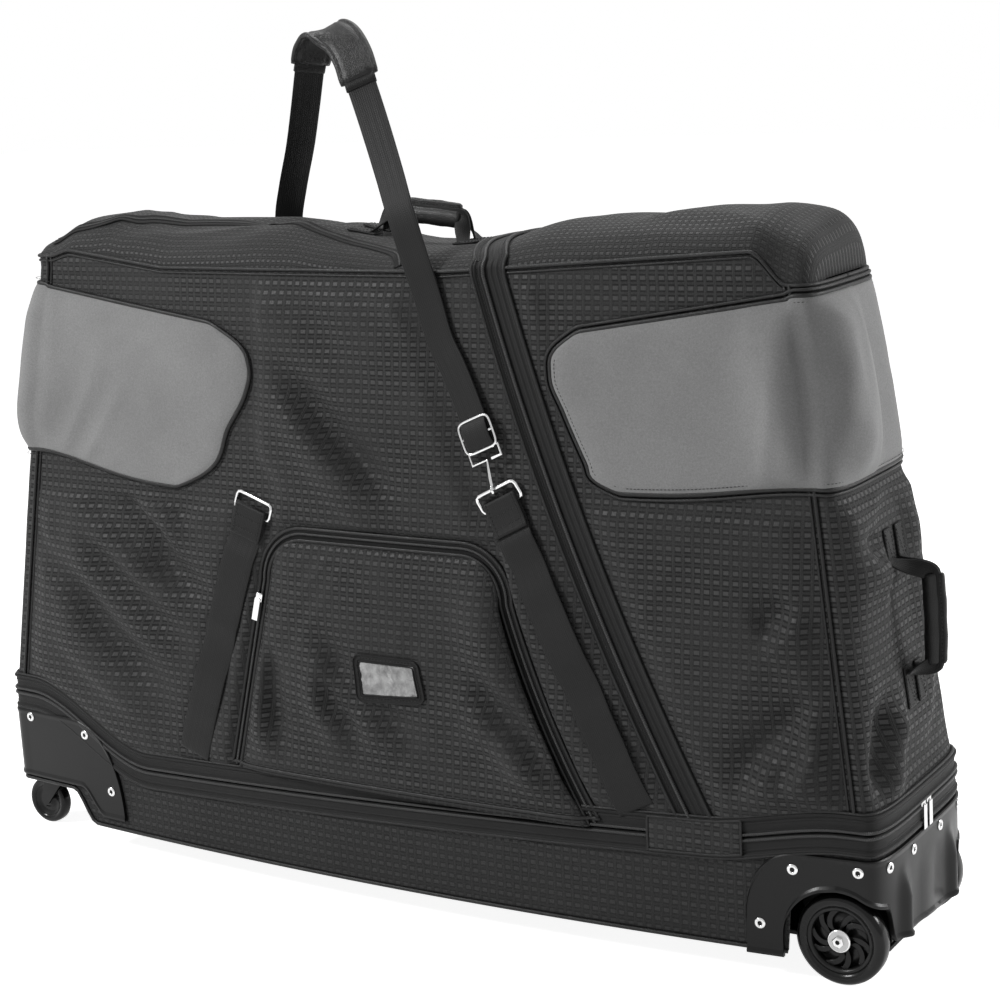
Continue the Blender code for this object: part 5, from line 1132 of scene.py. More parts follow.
def wall_panel(word, hood, side):
    columns, rows = (70 if hood else 200), 150
    share, rise = np.meshgrid(np.linspace(0, 1, columns), np.linspace(0, 1, rows))
    half = BAND_WIDTH / 2 - BAND_OVERLAP
    z = lerp(BASE_TOP_Z, SEAM_Z, rise)
    for _ in range(12):
        left, right = (band_x(z) + half, corner_x(z, 1)) if hood else (-corner_x(z, -1), band_x(z) - half)
        x = lerp(left, right, share)
        z = lerp(zip_z(x) + GAP, seam_z(x) + SEAM_LIFT, rise)
    spots, outs = wall_at(x, z, side)
    name = f"{word}_hood_cloth" if hood else f"{word}_cloth"
    piece = cloth(name, spots, np.stack([-x * side, z], -1), outs, "jacquard")
    settle(piece, "cover", "jacquard_fabric", f"{word}_hood_panel" if hood else f"{word}_panel")


def end_cloth(word, end):
    columns, rows = 90, 120
    w, rise = np.meshgrid(round_end(columns), np.linspace(0, 1, rows))
    foot, top = zip_z(end * HALF_LENGTH) + GAP, seam_z(end * HALF_LENGTH) + SEAM_LIFT
    z = lerp(foot, top, rise)
    spots, outs = end_at(w, z, end)
    run = run_along(spots[rows // 2])
    places = np.stack([np.broadcast_to(run * end, z.shape), z], -1)
    piece = cloth(f"{word}_cloth", spots, places, outs, "jacquard")
    settle(piece, "cover", "jacquard_fabric", f"{word}_panel")


def top_cloth(name, hood, node):
    end = 1 if hood else -1
    columns, rows = (110 if hood else 170), 70
    across = eased(rows)[:, None]
    near = band_top_x(across) + end * (BAND_WIDTH / 2 - BAND_OVERLAP)
    tip = end * COVER_TOP_LENGTH / 2
    share = np.linspace(0, 1, columns)
    share = lerp(share, 1 - (1 - share) ** 2, 0.5)[None]
    x = lerp(near, tip, share)
    across = np.broadcast_to(across, x.shape)
    spots, _ = top_at(x, across)
    hop = np.linalg.norm(np.diff(spots, axis=0), axis=2)
    run = np.concatenate([np.zeros((1, columns)), np.cumsum(hop, 0)], 0)
    run = run - run[rows // 2]
    piece = cloth(name, spots, np.stack([x, run], -1), np.broadcast_to((0.0, 0.0, 1.0), spots.shape), "jacquard_top")
    settle(piece, "cover", "jacquard_fabric", node)


def perimeter():
    """Stations once round the bag, each a kind of wall, a share of the way along it and its side or end."""
    stations = []
    for side, end in ((-1, 1), (1, -1)):
        stations += [("side", share * end, side) for share in np.linspace(-1, 1, 150)[:-1]]
        stations += [("end", w * end, end) for w in round_end(26)[:-1]]
    return stations


def station_at(station, height):
    """Place and outward direction of a station, at a height above the perimeter zip."""
    kind, share, which = station
    if kind == "side":
        end = 1 if share > 0 else -1
        x = share * corner_x(zip_z(share * HALF_LENGTH) + height, end)
        spot, out = side_wall(x, zip_z(x) + height, which)
    else:
        spot, out = end_wall(share, zip_z(which * HALF_LENGTH) + height, which)
    return spot, out


def zip_belt():
    """The perimeter zip: its upper half leaves with the cover, its lower half stays on the base."""
    stations = perimeter()

    def lines(height, lift):
        frames = [station_at(station, height) for station in stations]
        return np.array([spot + out * lift for spot, out in frames]), np.array([out for _, out in frames])

    for word, way, body, nodes in (("cover", 1, "cover", ()), ("base", -1, "rolling_base", ("base_zip_tape",))):
        level = ZIP_BELT_WIDTH / 2 * way
        profile = ridged(0.023, 0.0016, [(place * way, half, rise) for place, half, rise in ZIP_BELT_RIDGES])
        spots, outs = lines(level, 0.0006)
        settle(strip(f"{word}_zip_belt", spots, outs, profile, "hem", closed=True), body, "zip_tape", *nodes)
        cord(f"{word}_zip_coil", lines(level - 0.0085 * way, 0.0030)[0], outs, 0.0021, body, finish="coil", closed=True)
        cord(f"{word}_zip_piping", lines(level + 0.0125 * way, 0.0022)[0], outs, 0.0022, body, closed=True)


def bridge_patch():
    """Piece of cloth with bound edges over the belt, below the diagonal zip."""
    (left, right), (low, high) = BRIDGE_X, BRIDGE_REACH
    x, v = np.meshgrid(np.linspace(left, right, 60), np.linspace(low, high, 24))
    z = zip_z(x) + v
    spots, outs = side_wall(x, z, -1)
    edge = np.minimum.reduce([x - left, right - x, v - low, high - v])
    lift = 0.0048 + 0.0010 * smooth(edge / 0.006) + 0.0008 * wrinkles(x, z, *BRIDGE_RIPPLE, 2.0)
    surface = spots + outs * lift[..., None]
    piece = cloth("belt_bridge_cloth", surface, np.stack([x, z], -1), outs, "jacquard", 0.0012)
    settle(piece, "cover", "jacquard_fabric")
    cord("belt_bridge_binding", rim(surface), rim(outs), 0.0018, slot="jacquard_fabric", closed=True)


def band_route(shift, count=110):
    """The diagonal zip's way up the front, over the top and down the back, at a distance to its right."""
    rise = np.linspace(0, 1, count)
    walls = []
    for side in (-1, 1):
        z = lerp(BASE_TOP_Z, SEAM_Z, rise)
        for _ in range(12):
            x = band_x(z) + shift
            z = lerp(zip_z(x) + 0.006, seam_z(x) + SEAM_LIFT * 0.5, rise)
        walls.append(side_wall(x, z, side))
    across = eased(70)[2:-2]
    over = top_at(band_top_x(across) + shift, across)
    spots = np.vstack([walls[0][0], over[0], walls[1][0][::-1]])
    outs = np.vstack([walls[0][1], over[1], walls[1][1][::-1]])
    for _ in range(3):
        outs[1:-1] = unit(outs[:-2] + outs[1:-1] * 2 + outs[2:])
    return spots, outs


def diagonal_band():
    spots, outs = band_route(0)
    profile = ridged(0.046, 0.0022, DIAGONAL_RIDGES, 64)
    settle(strip("diagonal_band", spots - outs * 0.001, outs, profile, "hem"), "cover", "zip_tape", "diagonal_zip")
    for name, shift, lift, radius, finish in (("diagonal_coil", -0.006, 0.0030, 0.0024, "coil"),
                                              ("diagonal_piping_left", -PIPING_PLACE, 0.0022, 0.0026, "piping"),
                                              ("diagonal_piping_right", PIPING_PLACE, 0.0022, 0.0026, "piping")):
        line, out = band_route(shift)
        cord(name, line + out * lift, out, radius, finish=finish)
    for word, shift in (("left", -BAND_STITCH_PLACE), ("right", BAND_STITCH_PLACE)):
        line, out = band_route(shift)
        settle(stitches(f"diagonal_stitches_{word}", line + out * 0.0015, out), "cover", "zip_tape")


def seam_piping():
    """Corded seams where the panels meet, each with a thinner twin beside it."""
    for word, side in (("front", -1), ("back", 1)):
        for end, other in ((-1, "caster"), (1, "wheel")):
            z = np.linspace(zip_z(end * HALF_LENGTH) + 0.02, seam_z(end * HALF_LENGTH) + SEAM_LIFT, 100)
            x = end * corner_x(z, end)
            for twin, place, lift, share in (("", 0.0, 0.0012, 1.0), ("_twin", 0.0065, 0.0004, 0.75)):
                line, out = side_wall(x - end * place, z, side)
                cord(f"{other}_corner_piping_{word}{twin}", line + out * lift, out, PIPING_RADIUS * share,
                     slot="jacquard_fabric")
        for name, end in ((f"{word}_top_piping", -1), (f"{word}_hood_top_piping", 1)):
            seam = seam_z(end * HALF_LENGTH)
            x = np.linspace(BAND_TOP_X + end * (BAND_WIDTH / 2), end * corner_x(seam, end), 120)
            tip = np.sin(np.linspace(1, 0, 26) * math.pi / 2)[1:] ** ROUND_SHARE * side
            walls = side_wall(x, seam_z(x) + SEAM_LIFT, side), end_wall(tip, seam + SEAM_LIFT, end)
            spots, outs = (np.vstack(parts) for parts in zip(*walls))
            cord(name, spots + outs * 0.0010, outs, PIPING_RADIUS, slot="jacquard_fabric")
            line = spots + outs * 0.0006 - np.array((0, 0, 0.0062))
            cord(f"{name}_twin", line, outs, PIPING_RADIUS * 0.7, slot="jacquard_fabric")


def top_zip():
    """The short zip along the front half of the top."""
    route = curve_through([(*p, 0) for p in TOP_ZIP], 12)[:, :2]
    spots, outs = top_at(route[:, 0], route[:, 1], 0.0002)
    profile = ridged(0.016, 0.0008, TOP_ZIP_RIDGES)
    settle(strip("top_zip_tape", spots, outs, profile, "tape"), "cover", "zip_tape")
    cord("top_zip_coil", spots + outs * 0.0010, outs, 0.0014, finish="coil")


# Grey patches

def bumper_height(shape, x, row):
    tip, end_x = shape["tip_x"], COVER_TOP_LENGTH / 2
    along = smooth((np.abs(x) - tip) / (end_x - tip))
    foot = lerp(shape["foot_tip_z"], shape["foot_end_z"], along ** 3)
    top = lerp(shape["top_tip_z"], shape["top_end_z"], np.clip((np.abs(x) - tip) / (end_x - tip), 0, 1))
    return lerp(foot, top, row)


def bumper_rows(shape, tip_shares, rows):
    """Rows of places round the end from the front tip to the back tip, with outward directions."""
    end = shape["end"]
    row = np.linspace(0, 1, rows)[:, None]
    reach = np.linspace(0, 1, 90)[None, :-1]
    tip = shape["tip_x"] + shape["tip_depth"] * table(tip_shares, row)
    z = lerp(shape["foot_tip_z"], shape["top_end_z"], row) + 0 * reach
    for _ in range(6):
        x = lerp(tip, corner_x(z, end), reach)
        z = bumper_height(shape, x, row)
    w = round_end(60)[None]
    end_z = bumper_height(shape, COVER_TOP_LENGTH / 2, row) + 0 * w
    parts = [side_wall(end * x, z, -1), end_wall(w + 0 * row, end_z, end), side_wall(end * x[:, ::-1], z[:, ::-1], 1)]
    return np.concatenate([p[0] for p in parts], 1), np.concatenate([p[1] for p in parts], 1), parts[0][0].shape[1]


def bumper(word, shape, tip_shares):
    """Padded patch with bound edges that wraps an end of the cover."""
    end = shape["end"]
    rows = 56
    spots, outs, side_count = bumper_rows(shape, tip_shares, rows)
    row = np.linspace(0, 1, rows)[:, None] + 0 * spots[..., 0]
    hop = np.linalg.norm(np.diff(spots, axis=1), axis=2)
    run = np.concatenate([np.zeros((rows, 1)), np.cumsum(hop, 1)], 1)
    total = run[:, -1:]
    z = spots[..., 2]
    height = bumper_height(shape, COVER_TOP_LENGTH / 2, 1.0) - bumper_height(shape, COVER_TOP_LENGTH / 2, 0.0)
    edge = np.minimum(np.minimum(run, total - run), np.minimum(row, 1 - row) * height)
    pillow = 1 - np.exp(-edge / 0.012)
    place = run - total / 2
    corner_at = abs(place[:, side_count:side_count + 1])
    before = np.abs(place) / corner_at
    front = np.where(place < 0, 1.0, BACK_PUFF_SHARE)
    bulge = BUMPER_PUFF * bell((before - shape["puff_place"]) * corner_at, 0.060)
    bulge = bulge * np.sin(math.pi * row ** 0.65) * front
    crease = LONG_CREASE_HEIGHT * wrinkles(place, z, 1.25 * end, 0.16, 0.05, 1.0 + end)
    crease = crease + SHORT_CREASE_HEIGHT * wrinkles(place, z, *PATCH_CREASE, 3.0)
    beyond = np.abs(place) - corner_at
    near_corner = smooth(1.4 - np.abs(beyond) / 0.12)
    flat = 0.25 + 0.75 * smooth(np.abs(before - 1) / 0.25) if end < 0 else front
    lift = (BUMPER_THICKNESS - 0.0025) * pillow * flat + pillow * (bulge + crease * (0.35 + 0.65 * near_corner))
    if end > 0:
        ridge = smooth((corner_at - np.abs(place) - 0.018) / lerp(0.062, 0.034, row))
        shoulder = bell(beyond - 0.028, 0.030)
        foot = bell(np.abs(place) - corner_at * 1.25, 0.06) * (1 - row) ** 3
        corner = (WHEEL_RIDGE_HEIGHT * ridge + WHEEL_SHOULDER_HEIGHT * shoulder) * np.sin(math.pi * row) ** 0.4
        lift = lift + pillow * (corner * front + WHEEL_FOOT_HEIGHT * foot)
        valley = bell(beyond + 0.014, lerp(0.026, 0.015, row))
    else:
        valley = 0 * place
    lift = BUMPER_GAP + BUMPER_LIFT + np.maximum(0, lift) * (1 - 0.97 * valley * np.sin(math.pi * row) ** 0.3)
    surface = spots + outs * lift[..., None]
    piece = cloth(f"{word}_patch", surface, np.stack([run, z], -1), outs, "felt", 0.0016)
    settle(piece, "cover", "grey_pad", f"{word}_bumper")
    loop, loop_out = eased_loop(rim(surface.swapaxes(0, 1))), rim(outs.swapaxes(0, 1))
    cord(f"{word}_patch_binding", loop - loop_out * 0.001, loop_out, 0.0032, slot="grey_pad", closed=True, squash=0.8)
    beside = unit(np.cross(loop_out, np.roll(loop, -1, 0) - np.roll(loop, 1, 0)))
    outer = loop + beside * 0.0065 - loop_out * 0.0015
    cord(f"{word}_patch_piping", outer, loop_out, 0.0022, slot="grey_pad", closed=True)
    inner = loop - beside * 0.0068 + loop_out * 0.0022
    settle(stitches(f"{word}_patch_stitches", inner[::2], loop_out[::2]), "cover", "grey_pad")


# Front pocket

def pocket_outline(fine=10):
    """Points of the pocket's edge, up its left side, over its rounded top and down its right side."""
    top_turn = POCKET_TOP_Z - POCKET_CORNER
    rise = np.linspace(POCKET_FOOT_Z, top_turn, fine * 3)
    left = np.stack([pocket_edge(rise, False), rise], -1)
    right = np.stack([pocket_edge(rise[::-1], True), rise[::-1]], -1)
    turn = np.radians(np.linspace(0, 90, fine + 2))[1:-1]
    arcs = []
    for way in (False, True):
        edge = pocket_edge(top_turn, way)
        inward = -POCKET_CORNER if way else POCKET_CORNER
        arc = np.stack([edge + inward * (1 - np.cos(turn)), top_turn + POCKET_CORNER * np.sin(turn)], -1)
        arcs.append(arc[::-1] if way else arc)
    start = pocket_edge(top_turn, False) + POCKET_CORNER
    finish = pocket_edge(top_turn, True) - POCKET_CORNER
    span = np.linspace(start, finish, fine * 2)
    middle = np.stack([span, np.full(span.shape, POCKET_TOP_Z)], -1)
    return np.vstack([left, arcs[0], middle, arcs[1], right])


def inset(path, amount):
    """Moves an open outline sideways, towards its inside."""
    ahead = unit(np.gradient(path, axis=0))
    return path + np.stack([ahead[:, 1], -ahead[:, 0]], -1) * amount


def pocket_lift(x, z):
    """How far the pocket's cloth stands out of the wall."""
    left, right = x - pocket_edge(z, False), pocket_edge(z, True) - x
    top = POCKET_TOP_Z - z
    foot = z - POCKET_FOOT_Z
    edge = np.maximum(0, np.minimum.reduce([left - 0.012, top - 0.012]))
    bag = np.maximum(0, right - 0.012)
    body = 0.010 * (1 - np.exp(-edge / 0.020)) * (1 - 0.9 * np.exp(-bag / 0.010))
    body = body + 0.013 * bell(right - 0.045, 0.035) * smooth(foot / 0.06) * smooth(top / 0.12)
    calm = smooth(edge / 0.03) * smooth(bag / 0.03) * smooth(foot / 0.03)
    card = smooth(1.5 - np.maximum(np.abs(x - CARD_X) / 0.055, np.abs(z - CARD_Z) / 0.034) * 0.9)
    calm = calm * (1 - 0.85 * card)
    crease = 0.0028 * wrinkles(x, z, *POCKET_SLANT, 2.0) + 0.0019 * wrinkles(x, z, *POCKET_CROSS_SLANT, 5.0)
    return POCKET_LIFT + body + calm * with_folds(crease, x, z, POCKET_FOLDS)


def pocket():
    edge = pocket_outline()
    spots, outs = side_wall(*inset(edge, 0.007).T, -1)
    profile = ridged(0.017, 0.0014, POCKET_ZIP_RIDGES)
    settle(strip("pocket_zip_band", spots + outs * 0.0006, outs, profile, "tape"), "cover", "zip_tape", "pocket_zip")
    cord("pocket_zip_coil", spots + outs * 0.0026, outs, 0.0020, finish="coil")
    for name, amount, lift in (("pocket_piping_outer", 0.0, 0.0022), ("pocket_piping_inner", POCKET_RIM, 0.0040)):
        spots, outs = side_wall(*inset(edge, amount).T, -1)
        cord(name, spots + outs * lift, outs, POCKET_PIPING)
    body = inset(edge, POCKET_RIM)
    half = len(body) // 2
    columns = np.linspace(0, 1, 120)[None]
    steps = np.linspace(0, half - 1, 110)
    left, right = (np.stack([np.interp(steps, np.arange(half), line[:half, k]) for k in range(2)], -1)
                   for line in (body, body[::-1]))
    x, z = lerp(left[:, :1], right[:, :1], columns), lerp(left[:, 1:], right[:, 1:], columns)
    spots, outs = side_wall(x, z, -1)
    surface = spots + outs * pocket_lift(x, z)[..., None]
    piece = cloth("pocket_cloth", surface, np.stack([x, z], -1), outs, "jacquard", 0.0018)
    settle(piece, "cover", "jacquard_fabric", "front_pocket")
    x = np.linspace(pocket_edge(POCKET_FOOT_Z, False), pocket_edge(POCKET_FOOT_Z, True), 100)
    z = np.full(x.shape, POCKET_FOOT_Z + 0.002)
    spots, outs = side_wall(x, z, -1)
    lift = pocket_lift(x, z)[:, None]
    cord("pocket_foot_binding", spots + outs * lift, outs, POCKET_PIPING)
    line = inset(edge, 0.0205).T
    spots, outs = side_wall(*line, -1)
    lift = pocket_lift(*line)[:, None] + 0.0003
    settle(stitches("pocket_stitches", spots + outs * lift, outs), "cover", "jacquard_fabric")


def card_window():
    """Clear sleeve with a bound and stitched frame."""
    corners = np.array(CARD_CORNERS)

    def on_pocket(x, z, lift):
        spots, outs = side_wall(x, z, -1)
        return spots + outs * (pocket_lift(x, z) + lift)[..., None], outs

    ring = np.vstack([lerp(corners[i], corners[(i + 1) % 4], np.linspace(0, 1, 14)[:-1, None]) for i in range(4)])
    centre = corners.mean(0)
    reach = np.abs(corners - centre).mean(0)
    spots, outs = on_pocket(*eased_loop(centre + (ring - centre) * (1 - 0.0052 / reach)).T, 0.0006)
    profile = ridged(0.0110, 0.0010, CARD_RIDGES, 44)
    settle(strip("card_frame", spots, outs, profile, "hem", closed=True), "cover", "zip_tape")
    settle(stitches("card_stitches", spots + outs * 0.0012, outs), "cover", "zip_tape")
    u, v = np.meshgrid(np.linspace(0.09, 0.91, 60), np.linspace(0.16, 0.84, 36))
    low, high = lerp(corners[3], corners[2], u[..., None]), lerp(corners[0], corners[1], u[..., None])
    spot = lerp(low, high, v[..., None])
    x, z = spot[..., 0], spot[..., 1]
    crinkle = 0.0011 * wrinkles(x, z, *SLEEVE_CRINKLE, 1.0) + 0.0006 * wrinkles(x, z, *SLEEVE_CROSS_CRINKLE, 4.0)
    surface, outs = on_pocket(x, z, 0.0014 + crinkle)
    settle(cloth("card_sleeve", surface, spot, outs, "clear", 0.0003, "clear"), "cover", "zip_tape")


# Webbing with rings

def lower_webbing(word, side):
    """Webbing sewn up the wall, looped over its ring and stitched down."""
    ring, foot = (np.array(p) for p in RING_SPOTS[word])
    along = unit(ring - foot)
    length = np.linalg.norm(ring - foot)
    steps = np.linspace(0.006, length, 110)
    line = foot + along * steps[:, None]
    lift = WEBBING_LIFT + 0.0018 * noise(steps / 0.04, steps * 0 + side * 4.0)
    inside = smooth((np.minimum(line[:, 0] - pocket_edge(line[:, 1], False),
                                pocket_edge(line[:, 1], True) - line[:, 0]) + 0.03) / 0.03)
    lift = lift + (0.0035 * inside if side < 0 else 0)
    spots, outs = wall_at(line[:, 0], line[:, 1], side, lift)
    profile = flat_bar(WEBBING_WIDTH, WEBBING_THICKNESS)
    piece = strip(f"webbing_{word}_band", spots, outs, profile, "webbing")
    settle(piece, "cover", "webbing", f"webbing_{word}")
    top = steps > length - LOOP_LENGTH
    spots, outs = spots[top], outs[top]
    over = strip(f"webbing_{word}_loop", spots + outs * WEBBING_THICKNESS, outs,
                 flat_bar(WEBBING_WIDTH * 0.98, WEBBING_THICKNESS * 1.3), "webbing")
    settle(over, "cover", "webbing")
    ahead = unit(np.gradient(spots, axis=0))
    across = np.cross(outs, ahead)
    height = WEBBING_THICKNESS * 2.35
    rows = [(spots + across * WEBBING_WIDTH * edge + outs * height, outs) for edge in (-STITCHED_SHARE, STITCHED_SHARE)]
    reach = np.linspace(-STITCHED_SHARE, STITCHED_SHARE, 12)[:, None] * WEBBING_WIDTH
    for at in (3, len(spots) - 6):
        rows.append((spots[at] + across[at] * reach + outs[at] * height, repeated(outs[at], 12)))
    stitch_rows(f"webbing_{word}_stitches", rows)


# Shoulder strap

def strap_frames(steps=8):
    """Route, sideways and outward directions in the three runs of the strap."""
    route = curve_through([(x, share * float(half_width(x, z)), z) for x, share, z in STRAP_ROUTE], steps)
    stops = (0, steps * PAD_START, steps * PAD_END, len(route) - 1)
    ahead = unit(np.gradient(route, axis=0))
    runs = []
    for part in range(3):
        first, last = stops[part], stops[part + 1]
        share = ((np.arange(first, last + 1) - first) / (last - first))[:, None] ** 2
        across = lerp(np.array(STRAP_SIDES[part]), np.array(STRAP_SIDES[part + 1]), share)
        way = ahead[first:last + 1]
        across = unit(across - way * (across * way).sum(1, keepdims=True))
        runs.append((route[first:last + 1], across, unit(np.cross(across, way))))
    return runs


def shoulder_strap():
    runs = strap_frames()
    for name, node, (spots, _, outs) in (("strap_front_band", "strap_front", runs[0]),
                                         ("strap_back_band", "strap_back", runs[2])):
        profile = flat_bar(STRAP_WIDTH, STRAP_THICKNESS, -STRAP_THICKNESS / 2)
        piece = strip(name, spots, outs, profile, "webbing")
        settle(piece, "cover", "webbing", node)
    spots, across, outs = runs[1]
    count = len(spots)
    share = np.linspace(0, 1, count)
    end_round = np.minimum(1, np.sqrt(np.maximum(0.0, 1 - (np.maximum(0, np.abs(share - 0.5) * 2 - 0.90) / 0.1) ** 2))
                           * 0.45 + 0.55)
    turn = np.linspace(0, math.tau, 40, endpoint=False)
    wide = bowed(np.cos(turn), 0.45)
    deep = bowed(np.sin(turn), 0.75)
    quilt = 1 - 0.42 * bell(np.abs(wide) - PAD_SEAM_SHARE, 0.06) * (np.abs(deep) > 0.5)
    sections = []
    for spot, side, out, size in zip(spots, across, outs, end_round):
        ring = spot + side * (wide * PAD_WIDTH / 2 * lerp(0.93, 1, size))[:, None]
        sections.append(ring + out * (deep * quilt * PAD_THICKNESS / 2 * size)[:, None])
    pad = sweep("shoulder_pad_cushion", sections, "leather")
    settle(pad, "cover", "leatherette", "shoulder_pad")
    rows = []
    for way in (-1, 1):
        for face in (-1, 1):
            line = spots + across * way * PAD_SEAM_SHARE * PAD_WIDTH / 2 + outs * face * PAD_THICKNESS * 0.31
            rows.append((line[2:-2], outs[2:-2] * face))
    stitch_rows("shoulder_pad_stitches", rows, slot="leatherette")
    for word, spot, out, ahead in (("front", spots[0], outs[0], spots[0] - spots[3]),
                                   ("back", spots[-1], outs[-1], spots[-1] - spots[-4])):
        ahead = unit(ahead)
        line = np.array([spot + ahead * t for t in (-0.004, 0.004, 0.012)])
        profile = flat_bar(STRAP_WIDTH * 1.08, 0.0052, -0.0026)
        settle(strip(f"pad_{word}_keeper", line, repeated(out, 3), profile, "webbing"), "cover", "webbing")


def adjuster():
    """Plated wire frame of the strap's adjuster, with the strap's own webbing over its middle bar."""
    low, high = (np.array(corner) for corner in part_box("strap_adjuster"))
    spots, across, outs = strap_frames(24)[0]
    middle = int(np.linalg.norm(spots - (low + high) / 2, axis=1).argmin())
    spot, side, out = spots[middle], across[middle], outs[middle]
    ahead = unit(spots[middle + 1] - spots[middle - 1])
    tall = float(np.abs((high - low)[2])) / 2 / float(abs(ahead[2])) * 0.86
    wide = STRAP_WIDTH / 2 + 0.0042
    turn = np.linspace(0, math.tau, 64, endpoint=False)
    x = bowed(np.cos(turn), 0.35) * wide
    y = bowed(np.sin(turn), 0.35) * tall
    loop = spot + side * x[:, None] + ahead * y[:, None] + out * WIRE_LIFT
    frames = [strip("frame", loop, repeated(out, 64), circle(WIRE_RADIUS, CORD_SIDES), "chrome", True)]
    bar = np.array([spot + side * wide * t + out * WIRE_LIFT for t in (-1, -0.5, 0, 0.5, 1)])
    frames.append(strip("bar", bar, repeated(out, 5), circle(WIRE_BAR_RADIUS, CORD_SIDES), "chrome"))
    settle(joined("strap_adjuster_frame", frames), "strap_adjuster_slide", "chrome", "strap_adjuster")
    run = np.linspace(-1, 1, 15)
    lift = 0.0022 + 0.0034 * (1 - np.abs(run) ** 2.4)
    line = spot + ahead * (run * tall * 0.90)[:, None] + out * lift[:, None]
    profile = flat_bar(STRAP_WIDTH * 0.97, 0.0018)
    piece = strip("strap_adjuster_webbing", line, repeated(out, 15), profile, "webbing")
    settle(piece, "strap_adjuster_slide", "webbing")


# Carry handles

def sleeve_ring(tall):
    """Cross-section of a padded sleeve that stands upright, with its sewn lip on top, as (across, out) points."""
    level = eased(30)
    roll = GRIP_HALF_THICKNESS * np.sqrt(np.maximum(0, 1 - ((level + 0.30) / 0.70) ** 2))
    lip = 0.0034 * np.sqrt(np.maximum(0, 1 - np.maximum(0, (np.abs(level) - 0.86) / 0.14) ** 2))
    half = np.maximum(roll, lip * smooth((level + 0.7) * 2))
    right = np.stack([half, level * tall / 2], -1)
    return np.vstack([right, right[-2:0:-1] * (-1, 1)])


def handle(word, feet, out, shape, body):
    """Two webbings that rise from the bag, turn on edge and run through one sleeve."""
    low, high = (np.array(f, float) for f in feet)
    centre = (low + high) / 2
    along = unit(high - low)
    out = unit(np.array(out, float) - along * (along @ np.array(out, float)))
    across = np.cross(along, out)
    half, grip, rise, shift = np.linalg.norm(high - low) / 2, shape["grip"] / 2, shape["rise"], shape["shift"]
    web = HANDLE_WEB_THICKNESS / 2
    base = centre + out * (web + GAP)
    t = np.linspace(0, 1, 24)
    bands = []
    for lane in (-1, 1):
        turn = np.concatenate([smooth(t), np.ones(20), smooth(t)[::-1]])
        place = np.concatenate([lerp(-half, shift - grip, t), shift + grip * np.linspace(-0.95, 0.95, 20),
                                lerp(half, shift + grip, t)[::-1]])
        height = rise * turn ** 1.2 + shape["tilt"] * turn * place / grip
        sideways = lane * lerp(shape["lane"], web + 0.0006, turn)
        path = base + along * place[:, None] + out * height[:, None] + across * sideways[:, None]
        ahead = unit(np.gradient(path, axis=0))
        flat = unit(np.cross(ahead, across))
        flat = np.where((flat @ out)[:, None] < 0, -flat, flat)
        outs = unit(flat * np.cos(turn * math.pi / 2)[:, None] + lane * across * np.sin(turn * math.pi / 2)[:, None])
        bands.append(strip("band", path, outs, flat_bar(HANDLE_WEB_WIDTH, HANDLE_WEB_THICKNESS, -web), "webbing"))
    settle(joined(f"{word}_handle_band", bands), body, "webbing", f"{word}_handle_webbing")
    tall = shape["tall"]
    ring = sleeve_ring(tall)
    reach = np.linspace(-1, 1, 44)
    sections = []

    def level(r):
        return rise * lerp(GRIP_CROWN_SHARE, 1, abs(r) ** 2) + shape["tilt"] * r

    for r in reach:
        spot = base + along * (shift + grip * r) + out * level(r)
        size = lerp(0.90, 1.0, math.sqrt(max(0, 1 - max(0, abs(r) - 0.93) ** 2 / 0.07 ** 2)))
        size *= 1 + 0.03 * float(noise(np.array(r * 5.0), np.array(half * 90)))
        sections.append(spot + (across * ring[:, :1] + out * ring[:, 1:]) * size)
    piece = sweep(f"{word}_handle_sleeve", sections, "leather")
    settle(piece, body, "leatherette", f"{word}_handle_grip")
    rows = []
    for way in (-1, 1):
        line = [base + along * (shift + grip * r * 0.94) + across * way * 0.0036 + out * (level(r) + tall * 0.33)
                for r in reach]
        rows.append((line, repeated(across * way, len(line))))
    stitch_rows(f"{word}_handle_stitches", rows, body, "leatherette")


def handle_tabs(word, lines):
    """Webbing ends sewn flat to the bag, each a list of places with outward directions."""
    tabs, rows = [], []
    for spots, outs in lines:
        tabs.append(strip("tab", spots, outs, flat_bar(HANDLE_WEB_WIDTH, 0.0030), "webbing"))
        across = unit(np.cross(outs, unit(np.gradient(spots, axis=0))))
        lift = outs * 0.0032
        for edge in (-TAB_STITCHED_SHARE, TAB_STITCHED_SHARE):
            rows.append((spots + across * HANDLE_WEB_WIDTH * edge + lift, outs))
        reach = np.linspace(-TAB_STITCHED_SHARE, TAB_STITCHED_SHARE, 10)[:, None] * HANDLE_WEB_WIDTH
        last = len(spots) - 2
        for at in (1, last):
            rows.append((spots[at] + across[at] * reach + lift[at], repeated(outs[at], 10)))
        slant = np.linspace(1, last, 10).astype(int)
        rows.append((spots[slant] + across[slant] * reach + lift[slant], outs[slant]))
    settle(joined(f"{word}_handle_tabs", tabs), "cover", "webbing")
    stitch_rows(f"{word}_handle_tab_stitches", rows)


